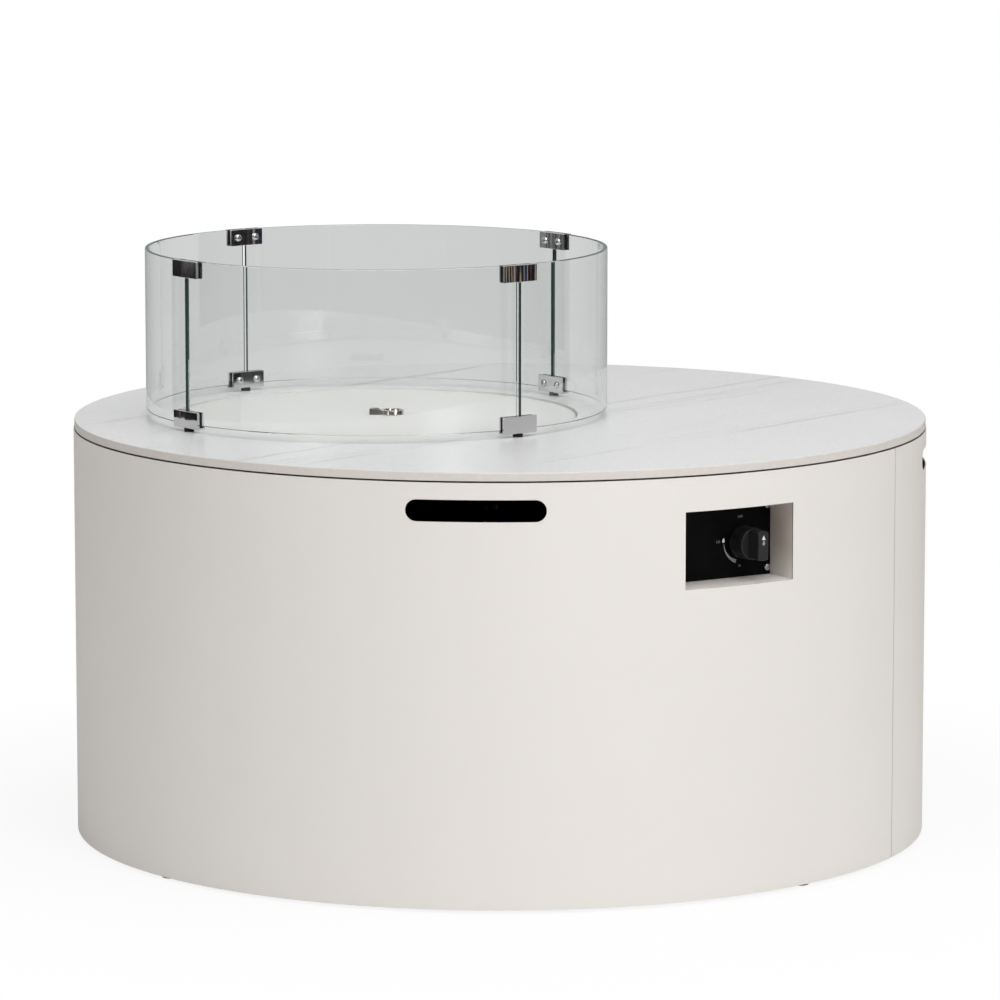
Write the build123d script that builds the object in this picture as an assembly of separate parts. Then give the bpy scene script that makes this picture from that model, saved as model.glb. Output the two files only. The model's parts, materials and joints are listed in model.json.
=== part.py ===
from build123d import *
import math
import os

# Round gas fire pit table. Sizes are in millimetres. It stands on the floor at z = 0 with its front
# towards -Y. An azimuth is an angle about an upright axis, from the front (-Y) towards the right (+X).

# Body
body_diameter = 1067.0
table_height = 521.0
shell_sheet = 2.0
floor_clearance = 3.0
shell_seam_azimuth = 247.0
shell_seam_gap = 0.6
slot_length = 165.0
slot_height = 26.0
slot_centre_drop = 45.0

# Access door
door_azimuth = 90.0
door_half_angle = 23.0
door_gap = 2.0
hinge_knuckle_radius = 3.0
hinge_pin_radius = 1.5
hinge_edge_gap = 0.8
hinge_knuckle_count = 11
hinge_knuckle_gap = 0.5
hinge_leaf_sheet = 1.5
hinge_leaf_width = 24.0
hinge_end_gap = 2.0
catch_length = 30.0
catch_depth = 12.0
catch_height = 36.0
catch_inset = 120.0
strike_sheet = 1.5
strike_width = 14.0

# Table top
slab_thickness = 10.0
slab_inset = 1.0
slab_edge_round = 1.2
shadow_gap = 2.0
pad_radius = 12.0
pad_edge_inset = 34.0
pad_count_outer = 12
pad_count_burner = 8

# Frame inside the body
ring_sheet = 2.0
ring_flange = 28.0
top_ring_leg = 14.0
base_ring_leg = 20.0
base_ring_lift = 1.0
deck_sheet = 2.0
deck_drop = 0.5
base_plate_sheet = 2.0
post_size = 25.0
post_sheet = 1.5
post_gap = 1.0
post_setback = 24.0
foot_radius = 12.0
foot_edge_round = 1.0
foot_stud_radius = 4.0
foot_stud_rise = 8.0
foot_azimuth = 47.0
tank_edge_distance = 233.5
tank_collar_radius = 104.0
tank_collar_sheet = 2.0
tank_collar_height = 20.0
vent_length = 110.0
vent_width = 16.0
vent_gap = 41.0
vent_count = 4

# Burner
burner_edge_distance = 378.7
pan_radius = 234.0
pan_draft = 10.0
pan_depth = 80.0
pan_sheet = 1.5
pan_flange = 30.0
pan_corner = 9.0
pan_hole_gap = 2.0
drain_radius = 5.0
drain_inset = 39.0
drain_count = 3
burner_igniter_gap = 28.0
burner_tube_width = 18.0
burner_tube_round = 7.4
burner_bar_radius = 7.0
burner_lift = 28.0
burner_hub_radius = 17.0
burner_hub_rise = 12.0
burner_thread_radius = 9.5
burner_thread_length = 26.0
port_radius = 1.3
port_depth = 4.0
port_count = 36
locknut_across = 32.0
locknut_height = 8.0
mixer_radius = 12.0
mixer_drop = 54.0
mixer_bend = 28.0
mixer_length = 120.0
air_slot_length = 26.0
air_slot_width = 8.0
air_slot_inset = 34.0
jet_insert = 12.0
jet_hex_across = 24.0
jet_hex_length = 10.0
jet_stub_radius = 6.5
jet_stub_length = 12.0

# Igniter and flame sensor
igniter_inset = 56.0
igniter_spread = 10.0
electrode_radius = 3.5
electrode_rise = 22.0
electrode_tail = 14.0
spark_rod_radius = 1.2
spark_rod_rise = 42.0
spark_rod_reach = 14.0
spark_rod_bend = 4.0
sensor_radius = 2.6
sensor_rise = 40.0
bracket_sheet = 1.5
bracket_width = 38.0
bracket_height = 12.0
bracket_reach = 9.0
bracket_foot = 13.0

# Gas train
pipe_radius = 4.0
pipe_first_run = 90.0
pipe_bend = 40.0
pipe_nut_across = 17.0
pipe_nut_length = 13.0
lead_radius = 1.8
lead_rise = 15.0
lead_turn_gap = 10.0
lead_first_run = 60.0
lead_bend = 11.0
lead_long_bend = 50.0
lead_clip_length = 6.0
lead_clip_margin = 3.0
lead_clip_shares = (0.3, 0.45)

# Control recess
panel_azimuth = 35.35
panel_recess = 52.5
panel_sheet = 1.5
window_width = 154.0
window_height = 92.0
window_centre_drop = 99.0
recess_sheet = 1.5
recess_flange = 12.0
panel_gap = 0.4
screw_side_inset = 5.2
screw_end_inset = 8.5
panel_screw_radius = 1.6
panel_screw_head_radius = 4.2
panel_screw_head_height = 2.6
panel_screw_round = 1.9
panel_screw_length = 8.0

# Valve and knob
knob_right = 34.0
knob_below = 3.0
valve_width = 36.0
valve_height = 40.0
valve_depth = 42.0
valve_round = 4.0
valve_neck_radius = 8.0
valve_neck_rise = 4.5
valve_nut_across = 22.0
valve_nut_height = 3.5
valve_outlet_radius = 9.0
valve_outlet_length = 15.0
valve_port_radius = 5.0
valve_port_length = 8.0
valve_port_right = 11.0
valve_port_below = 12.0
inlet_boss_radius = 11.0
inlet_boss_length = 7.0
inlet_back = 26.0
inlet_hex_across = 19.0
inlet_hex_length = 8.0
inlet_thread_radius = 7.94
inlet_thread_length = 16.0
inlet_flare = 2.0
piezo_size = 18.0
piezo_round = 3.0
piezo_front = 8.0
piezo_length = 38.0
piezo_terminal_radius = 3.0
piezo_terminal_length = 6.0
push_travel = 4.0
stem_radius = 3.5
stem_flat = 2.4
stem_tail = 18.0
plunger_radius = 2.2
plunger_length = 14.0
bore_end_gap = 2.0
knob_radius = 20.0
knob_top_radius = 19.0
knob_gap = 5.5
knob_skirt = 23.0
knob_wall = 2.4
knob_web = 3.5
knob_hub_radius = 6.5
knob_hub_recess = 6.0
knob_round = 1.2
grip_width = 16.5
grip_height = 19.0
grip_taper = 3.0
grip_round = 1.6

# Burner cover with its ring pull
cover_lap = 16.0
cover_gap = 2.5
cover_sheet = 1.5
cover_recess = 1.6
cover_round = 2.2
pull_width = 12.6
pull_back = 9.0
pull_ear_radius = 4.4
pull_pin_radius = 1.5
pull_lug_width = 6.0
pull_side_gap = 0.2
pull_slot_back = 4.0
pull_round = 0.8
ring_outer_radius = 14.5
ring_inner_radius = 11.0
ring_height = 6.0
ring_pin_gap = 5.0
ring_round = 0.7
pull_screw_radius = 2.0
pull_screw_head_radius = 4.5
pull_screw_head_height = 2.6
pull_screw_bite = 3.0

# Wind guard
guard_set_back = 36.5
glass_sheet = 5.0
glass_height = 201.0
glass_edge = 0.6
glass_joint_azimuth = 41.0
glass_joint_gap = 5.0
glass_panel_count = 4
clip_length = 50.0
clip_height = 21.0
clip_wall = 3.0
clip_web = 2.0
clip_joint_web = 3.2
clip_top_rise = 0.3
clip_edge = 0.5
liner_side = 0.8
liner_base = 2.5
liner_inset = 0.6
guard_foot_radius = 6.2
guard_foot_height = 4.5
clip_screw_radius = 1.8
clip_screw_head_radius = 4.5
clip_screw_head_height = 2.8
clip_screw_round = 2.2
clip_screw_shift = 1.2

# Clearances
seat_gap = 0.3
slip_gap = 0.05
running_gap = 0.08
through = 1.0

# Radii and levels worked out from the sizes above
body_radius = body_diameter / 2
shell_inner = body_radius - shell_sheet
ring_outer = shell_inner - seat_gap
burner_offset = body_radius - burner_edge_distance
tank_offset = body_radius - tank_edge_distance
panel_distance = body_radius - panel_recess
vent_distance = tank_collar_radius + vent_gap
drain_distance = pan_radius - drain_inset
igniter_distance = pan_radius - igniter_inset
burner_ring_radius = igniter_distance - burner_igniter_gap
cover_radius = pan_radius + cover_lap
slab_bottom = table_height - slab_thickness
shell_top = slab_bottom - shadow_gap
deck_top = shell_top - deck_drop
deck_bottom = deck_top - deck_sheet
base_ring_bottom = floor_clearance + base_ring_lift
base_plate_bottom = base_ring_bottom + ring_sheet
base_plate_top = base_plate_bottom + base_plate_sheet
slot_level = table_height - slot_centre_drop
window_level = table_height - window_centre_drop
pan_flange_top = deck_top + pan_sheet
pan_floor = deck_top - pan_depth
pan_under = pan_floor - pan_sheet
burner_level = pan_floor + burner_lift
mixer_level = pan_under - mixer_drop
mixer_bore = burner_thread_radius + slip_gap
cover_top = table_height - cover_recess
slab_hole_radius = cover_radius + cover_gap
glass_radius = slab_hole_radius + guard_set_back
valve_back = -(panel_sheet + valve_depth)
outlet_end = valve_back - valve_outlet_length
knob_up = -knob_below
piezo_up = knob_up + (valve_height + piezo_size) / 2
piezo_back = -(piezo_front + piezo_length + piezo_terminal_length)
stem_bore_end = -(stem_tail + push_travel + bore_end_gap)
plunger_bore_end = -(stem_tail + plunger_length + push_travel + bore_end_gap)
knob_cavity = knob_skirt - knob_web
glass_inner = glass_radius - glass_sheet
glass_middle = glass_radius - glass_sheet / 2
glass_bottom = table_height + guard_foot_height + clip_web + liner_base
glass_top = glass_bottom + glass_height
clip_slot_outer = glass_radius + liner_side
clip_slot_inner = glass_inner - liner_side
clip_half_angle = math.degrees(clip_length / 2 / glass_middle)
lower_clip_bottom = table_height + guard_foot_height
upper_clip_top = glass_top + clip_top_rise
pull_pin_level = cover_top + ring_height / 2 + seat_gap
ring_centre = ring_pin_gap + ring_outer_radius

# Door edges and the hinge axis
door_start = door_azimuth - door_half_angle
door_end = door_azimuth + door_half_angle
door_gap_angle = math.degrees(door_gap / body_radius)
hinge_half_gap = hinge_knuckle_radius + hinge_edge_gap
hinge_half_angle = math.degrees(hinge_half_gap / body_radius)
hinge_azimuth = door_end - hinge_half_angle
hinge_radius = body_radius - hinge_knuckle_radius
hinge_bottom = base_ring_bottom + base_ring_leg + hinge_end_gap
hinge_top = deck_bottom - top_ring_leg - hinge_end_gap
hinge_pitch = (hinge_top - hinge_bottom) / hinge_knuckle_count
post_setback_angle = math.degrees(post_setback / body_radius)
post_azimuths = (door_start - post_setback_angle, door_end + post_setback_angle,
                 -door_start + post_setback_angle, -door_end - post_setback_angle)
post_radius = ring_outer - ring_sheet - post_gap - post_size / 2
foot_distance = ring_outer - ring_sheet - foot_radius
foot_azimuths = (foot_azimuth, 180 - foot_azimuth, 180 + foot_azimuth, -foot_azimuth)
catch_levels = (floor_clearance + catch_inset, shell_top - catch_inset - catch_height)


def at_azimuth(shape, azimuth):
    """Turn a shape that was modelled at the front round to an azimuth."""
    return Rot(0, 0, azimuth) * shape


def at_burner(shape):
    """Move a shape from the body's axis to the burner's axis."""
    return Pos(-burner_offset, 0, 0) * shape


def disc(radius, low, high):
    return Pos(0, 0, low) * extrude(Circle(radius), high - low)


def tube(inner, outer, low, high):
    return Pos(0, 0, low) * extrude(Circle(outer) - Circle(inner), high - low)


def wall(inner, outer, low, high, start, end):
    """An upright curved wall between two azimuths."""
    section = Pos(-(inner + outer) / 2, (low + high) / 2) * Rectangle(outer - inner, high - low)
    return at_azimuth(revolve(Plane.YZ * section, Axis.Z, end - start), start)


def front_prism(outline, level, reach):
    """An outline seen from the front, pushed from the axis out through the front."""
    return extrude(Plane.XZ * Pos(0, level) * outline, reach)


def on_panel(shape):
    """Place a shape drawn on the control panel: x right, y up, z out of the panel's face."""
    return at_azimuth(Plane.XZ.offset(panel_distance) * Pos(0, window_level) * shape, panel_azimuth)


def panel_point(right, up, out):
    """The same place as on_panel, as a point."""
    turn = math.radians(panel_azimuth)
    reach = panel_distance + out
    x = reach * math.sin(turn) + right * math.cos(turn)
    y = -reach * math.cos(turn) + right * math.sin(turn)
    return Vector(x, y, window_level + up)


def rod(profile, low, high):
    """A bar with the given section between two heights."""
    return Pos(0, 0, low) * extrude(profile, high - low)


def hexagon(across):
    return RegularPolygon(across / 2, 6, major_radius=False)


def swept_tube(points, radii, radius):
    """A round tube along straight runs joined by tangent arcs."""
    path = FilletPolyline(*points, radius=radii)
    return sweep(Plane(origin=path @ 0, z_dir=path % 0) * Circle(radius), path=path)


def pan_head_screw(shank_radius, shank_length, head_radius, head_height, head_round):
    """A domed screw whose head stands on z = 0 and whose shank goes down."""
    head = rod(Circle(head_radius), 0, head_height)
    head = fillet(head.edges().group_by(Axis.Z)[-1], head_round)
    return head + rod(Circle(shank_radius), -shank_length, 0)


def hand_slot():
    outline = SlotOverall(slot_length, slot_height)
    return front_prism(outline, slot_level, body_radius + through)


def make_front_panel():
    start = shell_seam_azimuth - 360 + math.degrees(shell_seam_gap / body_radius)
    panel = wall(shell_inner, body_radius, floor_clearance, shell_top, start, door_start)
    window = front_prism(Rectangle(window_width, window_height), window_level, body_radius + through)
    return panel - hand_slot() - at_azimuth(window, panel_azimuth)


def make_rear_panel():
    panel = wall(shell_inner, body_radius, floor_clearance, shell_top, door_end, shell_seam_azimuth)
    return panel - at_azimuth(hand_slot(), 180)


def make_access_door():
    start = door_start + door_gap_angle
    end = door_end - 2 * hinge_half_angle
    door = wall(shell_inner, body_radius, floor_clearance, shell_top, start, end)
    return door - at_azimuth(hand_slot(), door_azimuth)


def hinge_place(shape):
    """Move a shape from the upright axis to the hinge axis, with x along the skin."""
    return at_azimuth(Pos(0, -hinge_radius, 0) * shape, hinge_azimuth)


def hinge_leaf(side, first, bore):
    """One leaf of the continuous hinge with every second knuckle, from the first one up.

    side is +1 towards the rear panel and -1 towards the door."""
    outer = shell_inner - slip_gap
    inner = outer - hinge_leaf_sheet
    near = math.degrees((hinge_knuckle_radius + hinge_knuckle_gap) / hinge_radius)
    far = math.degrees(hinge_leaf_width / hinge_radius)
    edges = sorted((hinge_azimuth + side * near, hinge_azimuth + side * far))
    leaf = wall(inner, outer, hinge_bottom, hinge_top, *edges)
    arms = sorted((hinge_azimuth, hinge_azimuth + side * far))
    for number in range(first, hinge_knuckle_count, 2):
        low = hinge_bottom + hinge_pitch * number + hinge_knuckle_gap / 2
        high = low + hinge_pitch - hinge_knuckle_gap
        leaf += wall(inner, outer, low, high, *arms)
        leaf += hinge_place(rod(Circle(hinge_knuckle_radius), low, high))
    return leaf - hinge_place(rod(Circle(bore), hinge_bottom, hinge_top))


def make_hinge_fixed_leaf():
    return hinge_leaf(1, 0, hinge_pin_radius + slip_gap)


def make_hinge_door_leaf():
    return hinge_leaf(-1, 1, hinge_pin_radius + running_gap)


def make_hinge_pin():
    return hinge_place(rod(Circle(hinge_pin_radius), hinge_bottom, hinge_top))


def catch_front():
    """How far out a flat magnet can stand before its corner meets the curved strike plate."""
    reach = shell_inner - slip_gap - strike_sheet - seat_gap
    side = post_size / 2 + catch_length
    return math.sqrt(reach * reach - side * side)


def make_catch_magnets():
    front = catch_front()
    outline = Pos((post_size + catch_length) / 2, -front + catch_depth / 2)
    magnet = outline * Rectangle(catch_length, catch_depth)
    blocks = [rod(magnet, level, level + catch_height) for level in catch_levels]
    return [at_azimuth(block, post_azimuths[0]) for block in blocks]


def make_catch_strikes():
    outer = shell_inner - slip_gap
    end = post_azimuths[0] + math.degrees((post_size / 2 + catch_length) / body_radius)
    start = end - math.degrees(strike_width / body_radius)
    return [wall(outer - strike_sheet, outer, level, level + catch_height, start, end)
            for level in catch_levels]


def make_base_ring():
    ring = tube(ring_outer - ring_sheet, ring_outer, base_ring_bottom, base_ring_bottom + base_ring_leg)
    ring += tube(ring_outer - ring_flange, ring_outer, base_ring_bottom, base_plate_bottom)
    for hole in foot_holes():
        ring -= hole
    return ring


def make_top_ring():
    ring = tube(ring_outer - ring_sheet, ring_outer, deck_bottom - top_ring_leg, deck_bottom)
    return ring + tube(ring_outer - ring_flange, ring_outer, deck_bottom - ring_sheet, deck_bottom)


def foot_holes():
    hole = disc(foot_stud_radius + slip_gap, 0, base_plate_top + through)
    return [at_azimuth(Pos(0, -foot_distance, 0) * hole, azimuth) for azimuth in foot_azimuths]


def make_levelling_feet():
    pad = disc(foot_radius, 0, base_ring_bottom)
    pad = fillet(pad.edges().group_by(Axis.Z)[0], foot_edge_round)
    foot = pad + disc(foot_stud_radius, base_ring_bottom, base_plate_top + foot_stud_rise)
    return [at_azimuth(Pos(0, -foot_distance, 0) * foot, azimuth) for azimuth in foot_azimuths]


def make_base_plate():
    plate = disc(ring_outer - ring_sheet - seat_gap, base_plate_bottom, base_plate_top)
    vent = rod(SlotOverall(vent_length, vent_width), base_plate_bottom - through, base_plate_top + through)
    for number in range(vent_count):
        turn = 360 / vent_count * (number + 0.5)
        plate -= Pos(tank_offset, 0, 0) * Rot(0, 0, turn) * Pos(0, vent_distance, 0) * vent
    for hole in foot_holes():
        plate -= hole
    return plate


def make_tank_collar():
    outer = tank_collar_radius + tank_collar_sheet
    top = base_plate_top + tank_collar_height
    return Pos(tank_offset, 0, 0) * tube(tank_collar_radius, outer, base_plate_top, top)


def make_frame_posts():
    bore = post_size - 2 * post_sheet
    section = Rectangle(post_size, post_size) - Rectangle(bore, bore)
    post = Pos(0, -post_radius, 0) * rod(section, base_plate_top, deck_bottom - ring_sheet)
    return [at_azimuth(post, azimuth) for azimuth in post_azimuths]


def make_top_deck():
    hole = disc(pan_radius + pan_hole_gap, deck_bottom - through, deck_top + through)
    return disc(ring_outer, deck_bottom, deck_top) - at_burner(hole)


def make_slab_pads():
    pad = disc(pad_radius, deck_top, slab_bottom)
    outer = ring_outer - pad_edge_inset
    pads = [at_azimuth(Pos(0, -outer, 0) * pad, 360 / pad_count_outer * (number + 0.5))
            for number in range(pad_count_outer)]
    inner = pan_radius + pan_flange + pad_radius + pan_hole_gap
    pads += [at_burner(at_azimuth(Pos(0, -inner, 0) * pad, 360 / pad_count_burner * number))
             for number in range(pad_count_burner)]
    return pads


def make_table_top():
    slab = disc(body_radius - slab_inset, slab_bottom, table_height)
    slab = fillet(slab.edges().group_by(Axis.Z)[-1], slab_edge_round)
    hole = disc(slab_hole_radius, slab_bottom - through, table_height + through)
    return slab - at_burner(hole)


def igniter_place(side):
    """Where the electrode (+1) or the flame sensor (-1) stands in the pan, beside the gas inlet line."""
    along = mixer_direction() * igniter_distance
    across = mixer_side() * igniter_spread * side
    return Vector(-burner_offset, 0, 0) + along + across


def make_burner_pan():
    foot = pan_radius - pan_draft
    profile = make_face(Polyline(
        (0, pan_under), (foot, pan_under), (pan_radius, deck_top), (pan_radius + pan_flange, deck_top),
        (pan_radius + pan_flange, pan_flange_top), (pan_radius - pan_sheet, pan_flange_top),
        (foot - pan_sheet, pan_floor), (0, pan_floor), close=True))
    inner = profile.vertices().sort_by_distance((foot - pan_sheet, pan_floor))[0]
    profile = fillet(inner, pan_corner)
    outer = profile.vertices().sort_by_distance((foot, pan_under))[0]
    profile = fillet(outer, pan_corner + pan_sheet)
    pan = at_burner(revolve(Plane.XZ * profile, Axis.Z))
    low, high = pan_under - through, pan_floor + through
    holes = [at_burner(disc(mixer_bore, low, high))]
    for number in range(drain_count):
        turn = panel_azimuth + 360 / drain_count * (number + 0.5)
        drain = Pos(0, -drain_distance, 0) * disc(drain_radius, low, high)
        holes.append(at_burner(at_azimuth(drain, turn)))
    for side, radius in ((1, electrode_radius), (-1, sensor_radius)):
        holes.append(Pos(igniter_place(side)) * disc(radius + slip_gap, low, high))
    for hole in holes:
        pan -= hole
    return pan


def make_burner_ring():
    """Pressed ring with a narrow flat land on top, where the ports are drilled."""
    tube_section = RectangleRounded(burner_tube_width, burner_tube_width, burner_tube_round)
    section = Pos(-burner_ring_radius, burner_level) * tube_section
    ring = revolve(Plane.YZ * section, Axis.Z)
    bar = Pos(0, 0, burner_level) * Rot(0, 90, 0) * Cylinder(burner_bar_radius, 2 * burner_ring_radius)
    hub = disc(burner_hub_radius, pan_floor, burner_level + burner_hub_rise)
    thread = disc(burner_thread_radius, pan_floor - burner_thread_length, pan_floor)
    top = burner_level + burner_tube_width / 2
    port = Pos(0, -burner_ring_radius, 0) * disc(port_radius, top - port_depth, top + through)
    burner = ring + bar + hub + thread
    burner -= [at_azimuth(port, 360 / port_count * (number + 0.5)) for number in range(port_count)]
    return at_burner(burner)


def make_burner_locknut():
    nut = hexagon(locknut_across) - Circle(mixer_bore)
    return at_burner(rod(nut, pan_under - locknut_height, pan_under))


def pipe_line():
    """Level line from the burner's axis to the first bend of the gas pipe."""
    bend = panel_point(knob_right, knob_up, outlet_end - pipe_first_run)
    line = bend - Vector(-burner_offset, 0, 0)
    return Vector(line.X, line.Y, 0)


def mixer_direction():
    return pipe_line().normalized()


def jet_end():
    """How far from the burner's axis the gas jet ends."""
    return mixer_length + jet_hex_length + jet_stub_length


def pipe_turn():
    """The pipe's second bend is halfway between the nut on the jet and the first bend."""
    return (jet_end() + pipe_nut_length + pipe_line().length) / 2


def mixer_side():
    """Level direction square to the mixer tube."""
    along = mixer_direction()
    return Vector(-along.Y, along.X, 0)


def on_mixer(distance, level):
    """A point above or below the mixer's line, at a distance from the burner's axis."""
    point = Vector(-burner_offset, 0, 0) + mixer_direction() * distance
    return Vector(point.X, point.Y, level)


def mixer_plane(distance):
    """A plane square to the mixer's line, facing away from the burner, with its y upwards."""
    return Plane(origin=on_mixer(distance, mixer_level), x_dir=mixer_side(), z_dir=mixer_direction())


def make_mixer_tube():
    top = pan_under - locknut_height
    path = FilletPolyline(on_mixer(0, top), on_mixer(0, mixer_level), on_mixer(mixer_length, mixer_level),
                          radius=mixer_bend)
    start = Plane(origin=path @ 0, z_dir=path % 0)
    mixer = sweep(start * Circle(mixer_radius), path=path) - sweep(start * Circle(mixer_bore), path=path)
    slot = SlotOverall(air_slot_length, air_slot_width)
    side_plane = Plane(origin=on_mixer(mixer_length - air_slot_inset, mixer_level),
                       x_dir=mixer_direction(), z_dir=mixer_side())
    return mixer - extrude(side_plane * slot, mixer_radius + through, both=True)


def make_gas_jet():
    jet = extrude(mixer_plane(mixer_length - jet_insert) * Circle(burner_thread_radius), jet_insert)
    jet += extrude(mixer_plane(mixer_length) * hexagon(jet_hex_across), jet_hex_length)
    stub = mixer_plane(mixer_length + jet_hex_length)
    return jet + extrude(stub * Circle(jet_stub_radius), jet_stub_length)


def make_supply_pipe():
    points = (panel_point(knob_right, knob_up, outlet_end),
              panel_point(knob_right, knob_up, outlet_end - pipe_first_run),
              on_mixer(pipe_turn(), mixer_level), on_mixer(jet_end(), mixer_level))
    return swept_tube(points, pipe_bend, pipe_radius)


def make_pipe_nuts():
    section = hexagon(pipe_nut_across) - Circle(pipe_radius + slip_gap)
    at_jet = extrude(mixer_plane(jet_end()) * section, pipe_nut_length)
    at_valve = on_panel(Pos(knob_right, knob_up) * rod(section, outlet_end - pipe_nut_length, outlet_end))
    return [at_jet, at_valve]


def lead_points(side, terminal):
    """Route of a lead from under the pan, along the gas pipe, to a terminal on the valve."""
    foot = igniter_place(side)
    across = mixer_side() * igniter_spread * side
    level = mixer_level + lead_rise
    right, up, out = terminal
    return (Vector(foot.X, foot.Y, pan_under - electrode_tail), Vector(foot.X, foot.Y, level),
            on_mixer(pipe_turn() - lead_turn_gap, level) + across,
            panel_point(right, up, out - lead_first_run), panel_point(right, up, out))


def make_lead(side, terminal):
    radii = [lead_bend, lead_long_bend, lead_long_bend]
    return swept_tube(lead_points(side, terminal), radii, lead_radius)


def make_ignition_lead():
    return make_lead(1, (knob_right, piezo_up, piezo_back))


def make_sensor_lead():
    port_end = valve_back - valve_port_length
    return make_lead(-1, (knob_right + valve_port_right, knob_up - valve_port_below, port_end))


def make_lead_clips():
    width = 2 * (igniter_spread + lead_radius + lead_clip_margin)
    low = -(pipe_radius + lead_clip_margin)
    high = lead_rise + lead_radius + lead_clip_margin
    section = Pos(0, (low + high) / 2) * RectangleRounded(width, high - low, lead_clip_margin)
    section -= Circle(pipe_radius + slip_gap)
    for side in (-1, 1):
        section -= Pos(side * igniter_spread, lead_rise) * Circle(lead_radius + slip_gap)
    room = pipe_turn() - igniter_distance
    return [extrude(mixer_plane(igniter_distance + room * share) * section, lead_clip_length)
            for share in lead_clip_shares]


def make_spark_electrode():
    insulator = disc(electrode_radius, pan_under - electrode_tail, pan_floor + electrode_rise)
    top = pan_floor + electrode_rise
    inward = mixer_direction() * -spark_rod_reach
    tip = pan_floor + spark_rod_rise
    points = (Vector(0, 0, top), Vector(0, 0, tip), Vector(inward.X, inward.Y, tip))
    return Pos(igniter_place(1)) * (insulator + swept_tube(points, spark_rod_bend, spark_rod_radius))


def make_flame_sensor():
    sensor = disc(sensor_radius, pan_under - electrode_tail, pan_floor + sensor_rise)
    sensor = fillet(sensor.edges().group_by(Axis.Z)[-1], sensor_radius / 2)
    return Pos(igniter_place(-1)) * sensor


def make_igniter_bracket():
    """A folded strip that stands on the pan and holds the electrode and the sensor upright."""
    half = bracket_sheet / 2
    line = Polyline((-bracket_reach, bracket_height - half), (bracket_reach, bracket_height - half),
                    (bracket_reach, half), (bracket_reach + bracket_foot, half))
    place = Plane(origin=on_mixer(igniter_distance, pan_floor), x_dir=mixer_direction(),
                  z_dir=mixer_side() * -1)
    bracket = extrude(place * trace(line, bracket_sheet), bracket_width / 2, both=True)
    bracket -= disc_below(pan_floor)
    for side, radius in ((1, electrode_radius), (-1, sensor_radius)):
        hole = disc(radius + slip_gap, pan_floor, pan_floor + bracket_height + through)
        bracket -= Pos(igniter_place(side)) * hole
    return bracket


def disc_below(level):
    """A trimming disc under a level."""
    return at_burner(disc(pan_radius, level - bracket_height, level))


def make_control_box():
    """Open-fronted recess box, trimmed to the inside of the curved skin."""
    depth = body_radius - panel_distance
    back = -(panel_sheet + recess_sheet)
    outline = Rectangle(window_width + 2 * recess_sheet, window_height + 2 * recess_sheet)
    box = rod(outline, back, depth) - rod(Rectangle(window_width, window_height), -panel_sheet, depth)
    open_width = window_width - 2 * recess_flange
    open_height = window_height - 2 * recess_flange
    box -= rod(Rectangle(open_width, open_height), back - through, depth)
    for right, up in panel_screw_places():
        box -= Pos(right, up) * rod(Circle(panel_screw_radius + slip_gap), back - through, depth)
    return on_panel(box) & disc(shell_inner - slip_gap, 0, table_height)


def panel_screw_places():
    right = window_width / 2 - screw_side_inset
    up = window_height / 2 - screw_end_inset
    return [(side * right, end * up) for side in (-1, 1) for end in (-1, 1)]


def make_control_panel():
    outline = Rectangle(window_width - 2 * panel_gap, window_height - 2 * panel_gap)
    outline -= Pos(knob_right, knob_up) * Circle(valve_neck_radius + slip_gap)
    for right, up in panel_screw_places():
        outline -= Pos(right, up) * Circle(panel_screw_radius + slip_gap)
    return on_panel(rod(outline, -panel_sheet, 0))


def make_panel_screws():
    screw = pan_head_screw(panel_screw_radius, panel_screw_length, panel_screw_head_radius,
                           panel_screw_head_height, panel_screw_round)
    return [on_panel(Pos(right, up) * screw) for right, up in panel_screw_places()]


def make_gas_valve():
    body = rod(RectangleRounded(valve_width, valve_height, valve_round), valve_back, -panel_sheet)
    body += rod(Circle(valve_neck_radius), -panel_sheet, valve_neck_rise)
    body += rod(Circle(valve_outlet_radius), outlet_end, valve_back)
    port = Pos(valve_port_right, -valve_port_below)
    body += port * rod(Circle(valve_port_radius), valve_back - valve_port_length, valve_back)
    boss_top = -valve_height / 2
    boss = extrude(Circle(inlet_boss_radius), inlet_boss_length)
    body += Pos(0, boss_top, -inlet_back) * Rot(90, 0, 0) * boss
    body -= rod(Circle(stem_radius + running_gap), stem_bore_end, valve_neck_rise)
    body -= rod(Circle(plunger_radius + running_gap), plunger_bore_end, stem_bore_end)
    return on_panel(Pos(knob_right, knob_up) * body)


def make_valve_nut():
    section = hexagon(valve_nut_across) - Circle(valve_neck_radius + slip_gap)
    return on_panel(Pos(knob_right, knob_up) * rod(section, 0, valve_nut_height))


def make_gas_inlet():
    fitting = rod(hexagon(inlet_hex_across), 0, inlet_hex_length)
    thread = rod(Circle(inlet_thread_radius), inlet_hex_length, inlet_hex_length + inlet_thread_length)
    thread = chamfer(thread.edges().group_by(Axis.Z)[-1], inlet_flare)
    place = Pos(knob_right, knob_up - valve_height / 2 - inlet_boss_length, -inlet_back)
    return on_panel(place * Rot(90, 0, 0) * (fitting + thread))


def make_piezo_igniter():
    housing = rod(RectangleRounded(piezo_size, piezo_size, piezo_round),
                  -(piezo_front + piezo_length), -piezo_front)
    housing += rod(Circle(piezo_terminal_radius), piezo_back, -(piezo_front + piezo_length))
    return on_panel(Pos(knob_right, piezo_up) * housing)


def shaft_flat(radius, flat):
    """A round section with one flat side."""
    return Circle(radius) - Pos(0, flat + radius) * Rectangle(2 * radius, 2 * radius)


def make_valve_stem():
    hub_start = knob_gap + knob_hub_recess
    stem = rod(Circle(stem_radius), -stem_tail, hub_start)
    stem += rod(shaft_flat(stem_radius, stem_flat), hub_start, knob_gap + knob_cavity)
    return on_panel(Pos(knob_right, knob_up) * stem)


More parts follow.
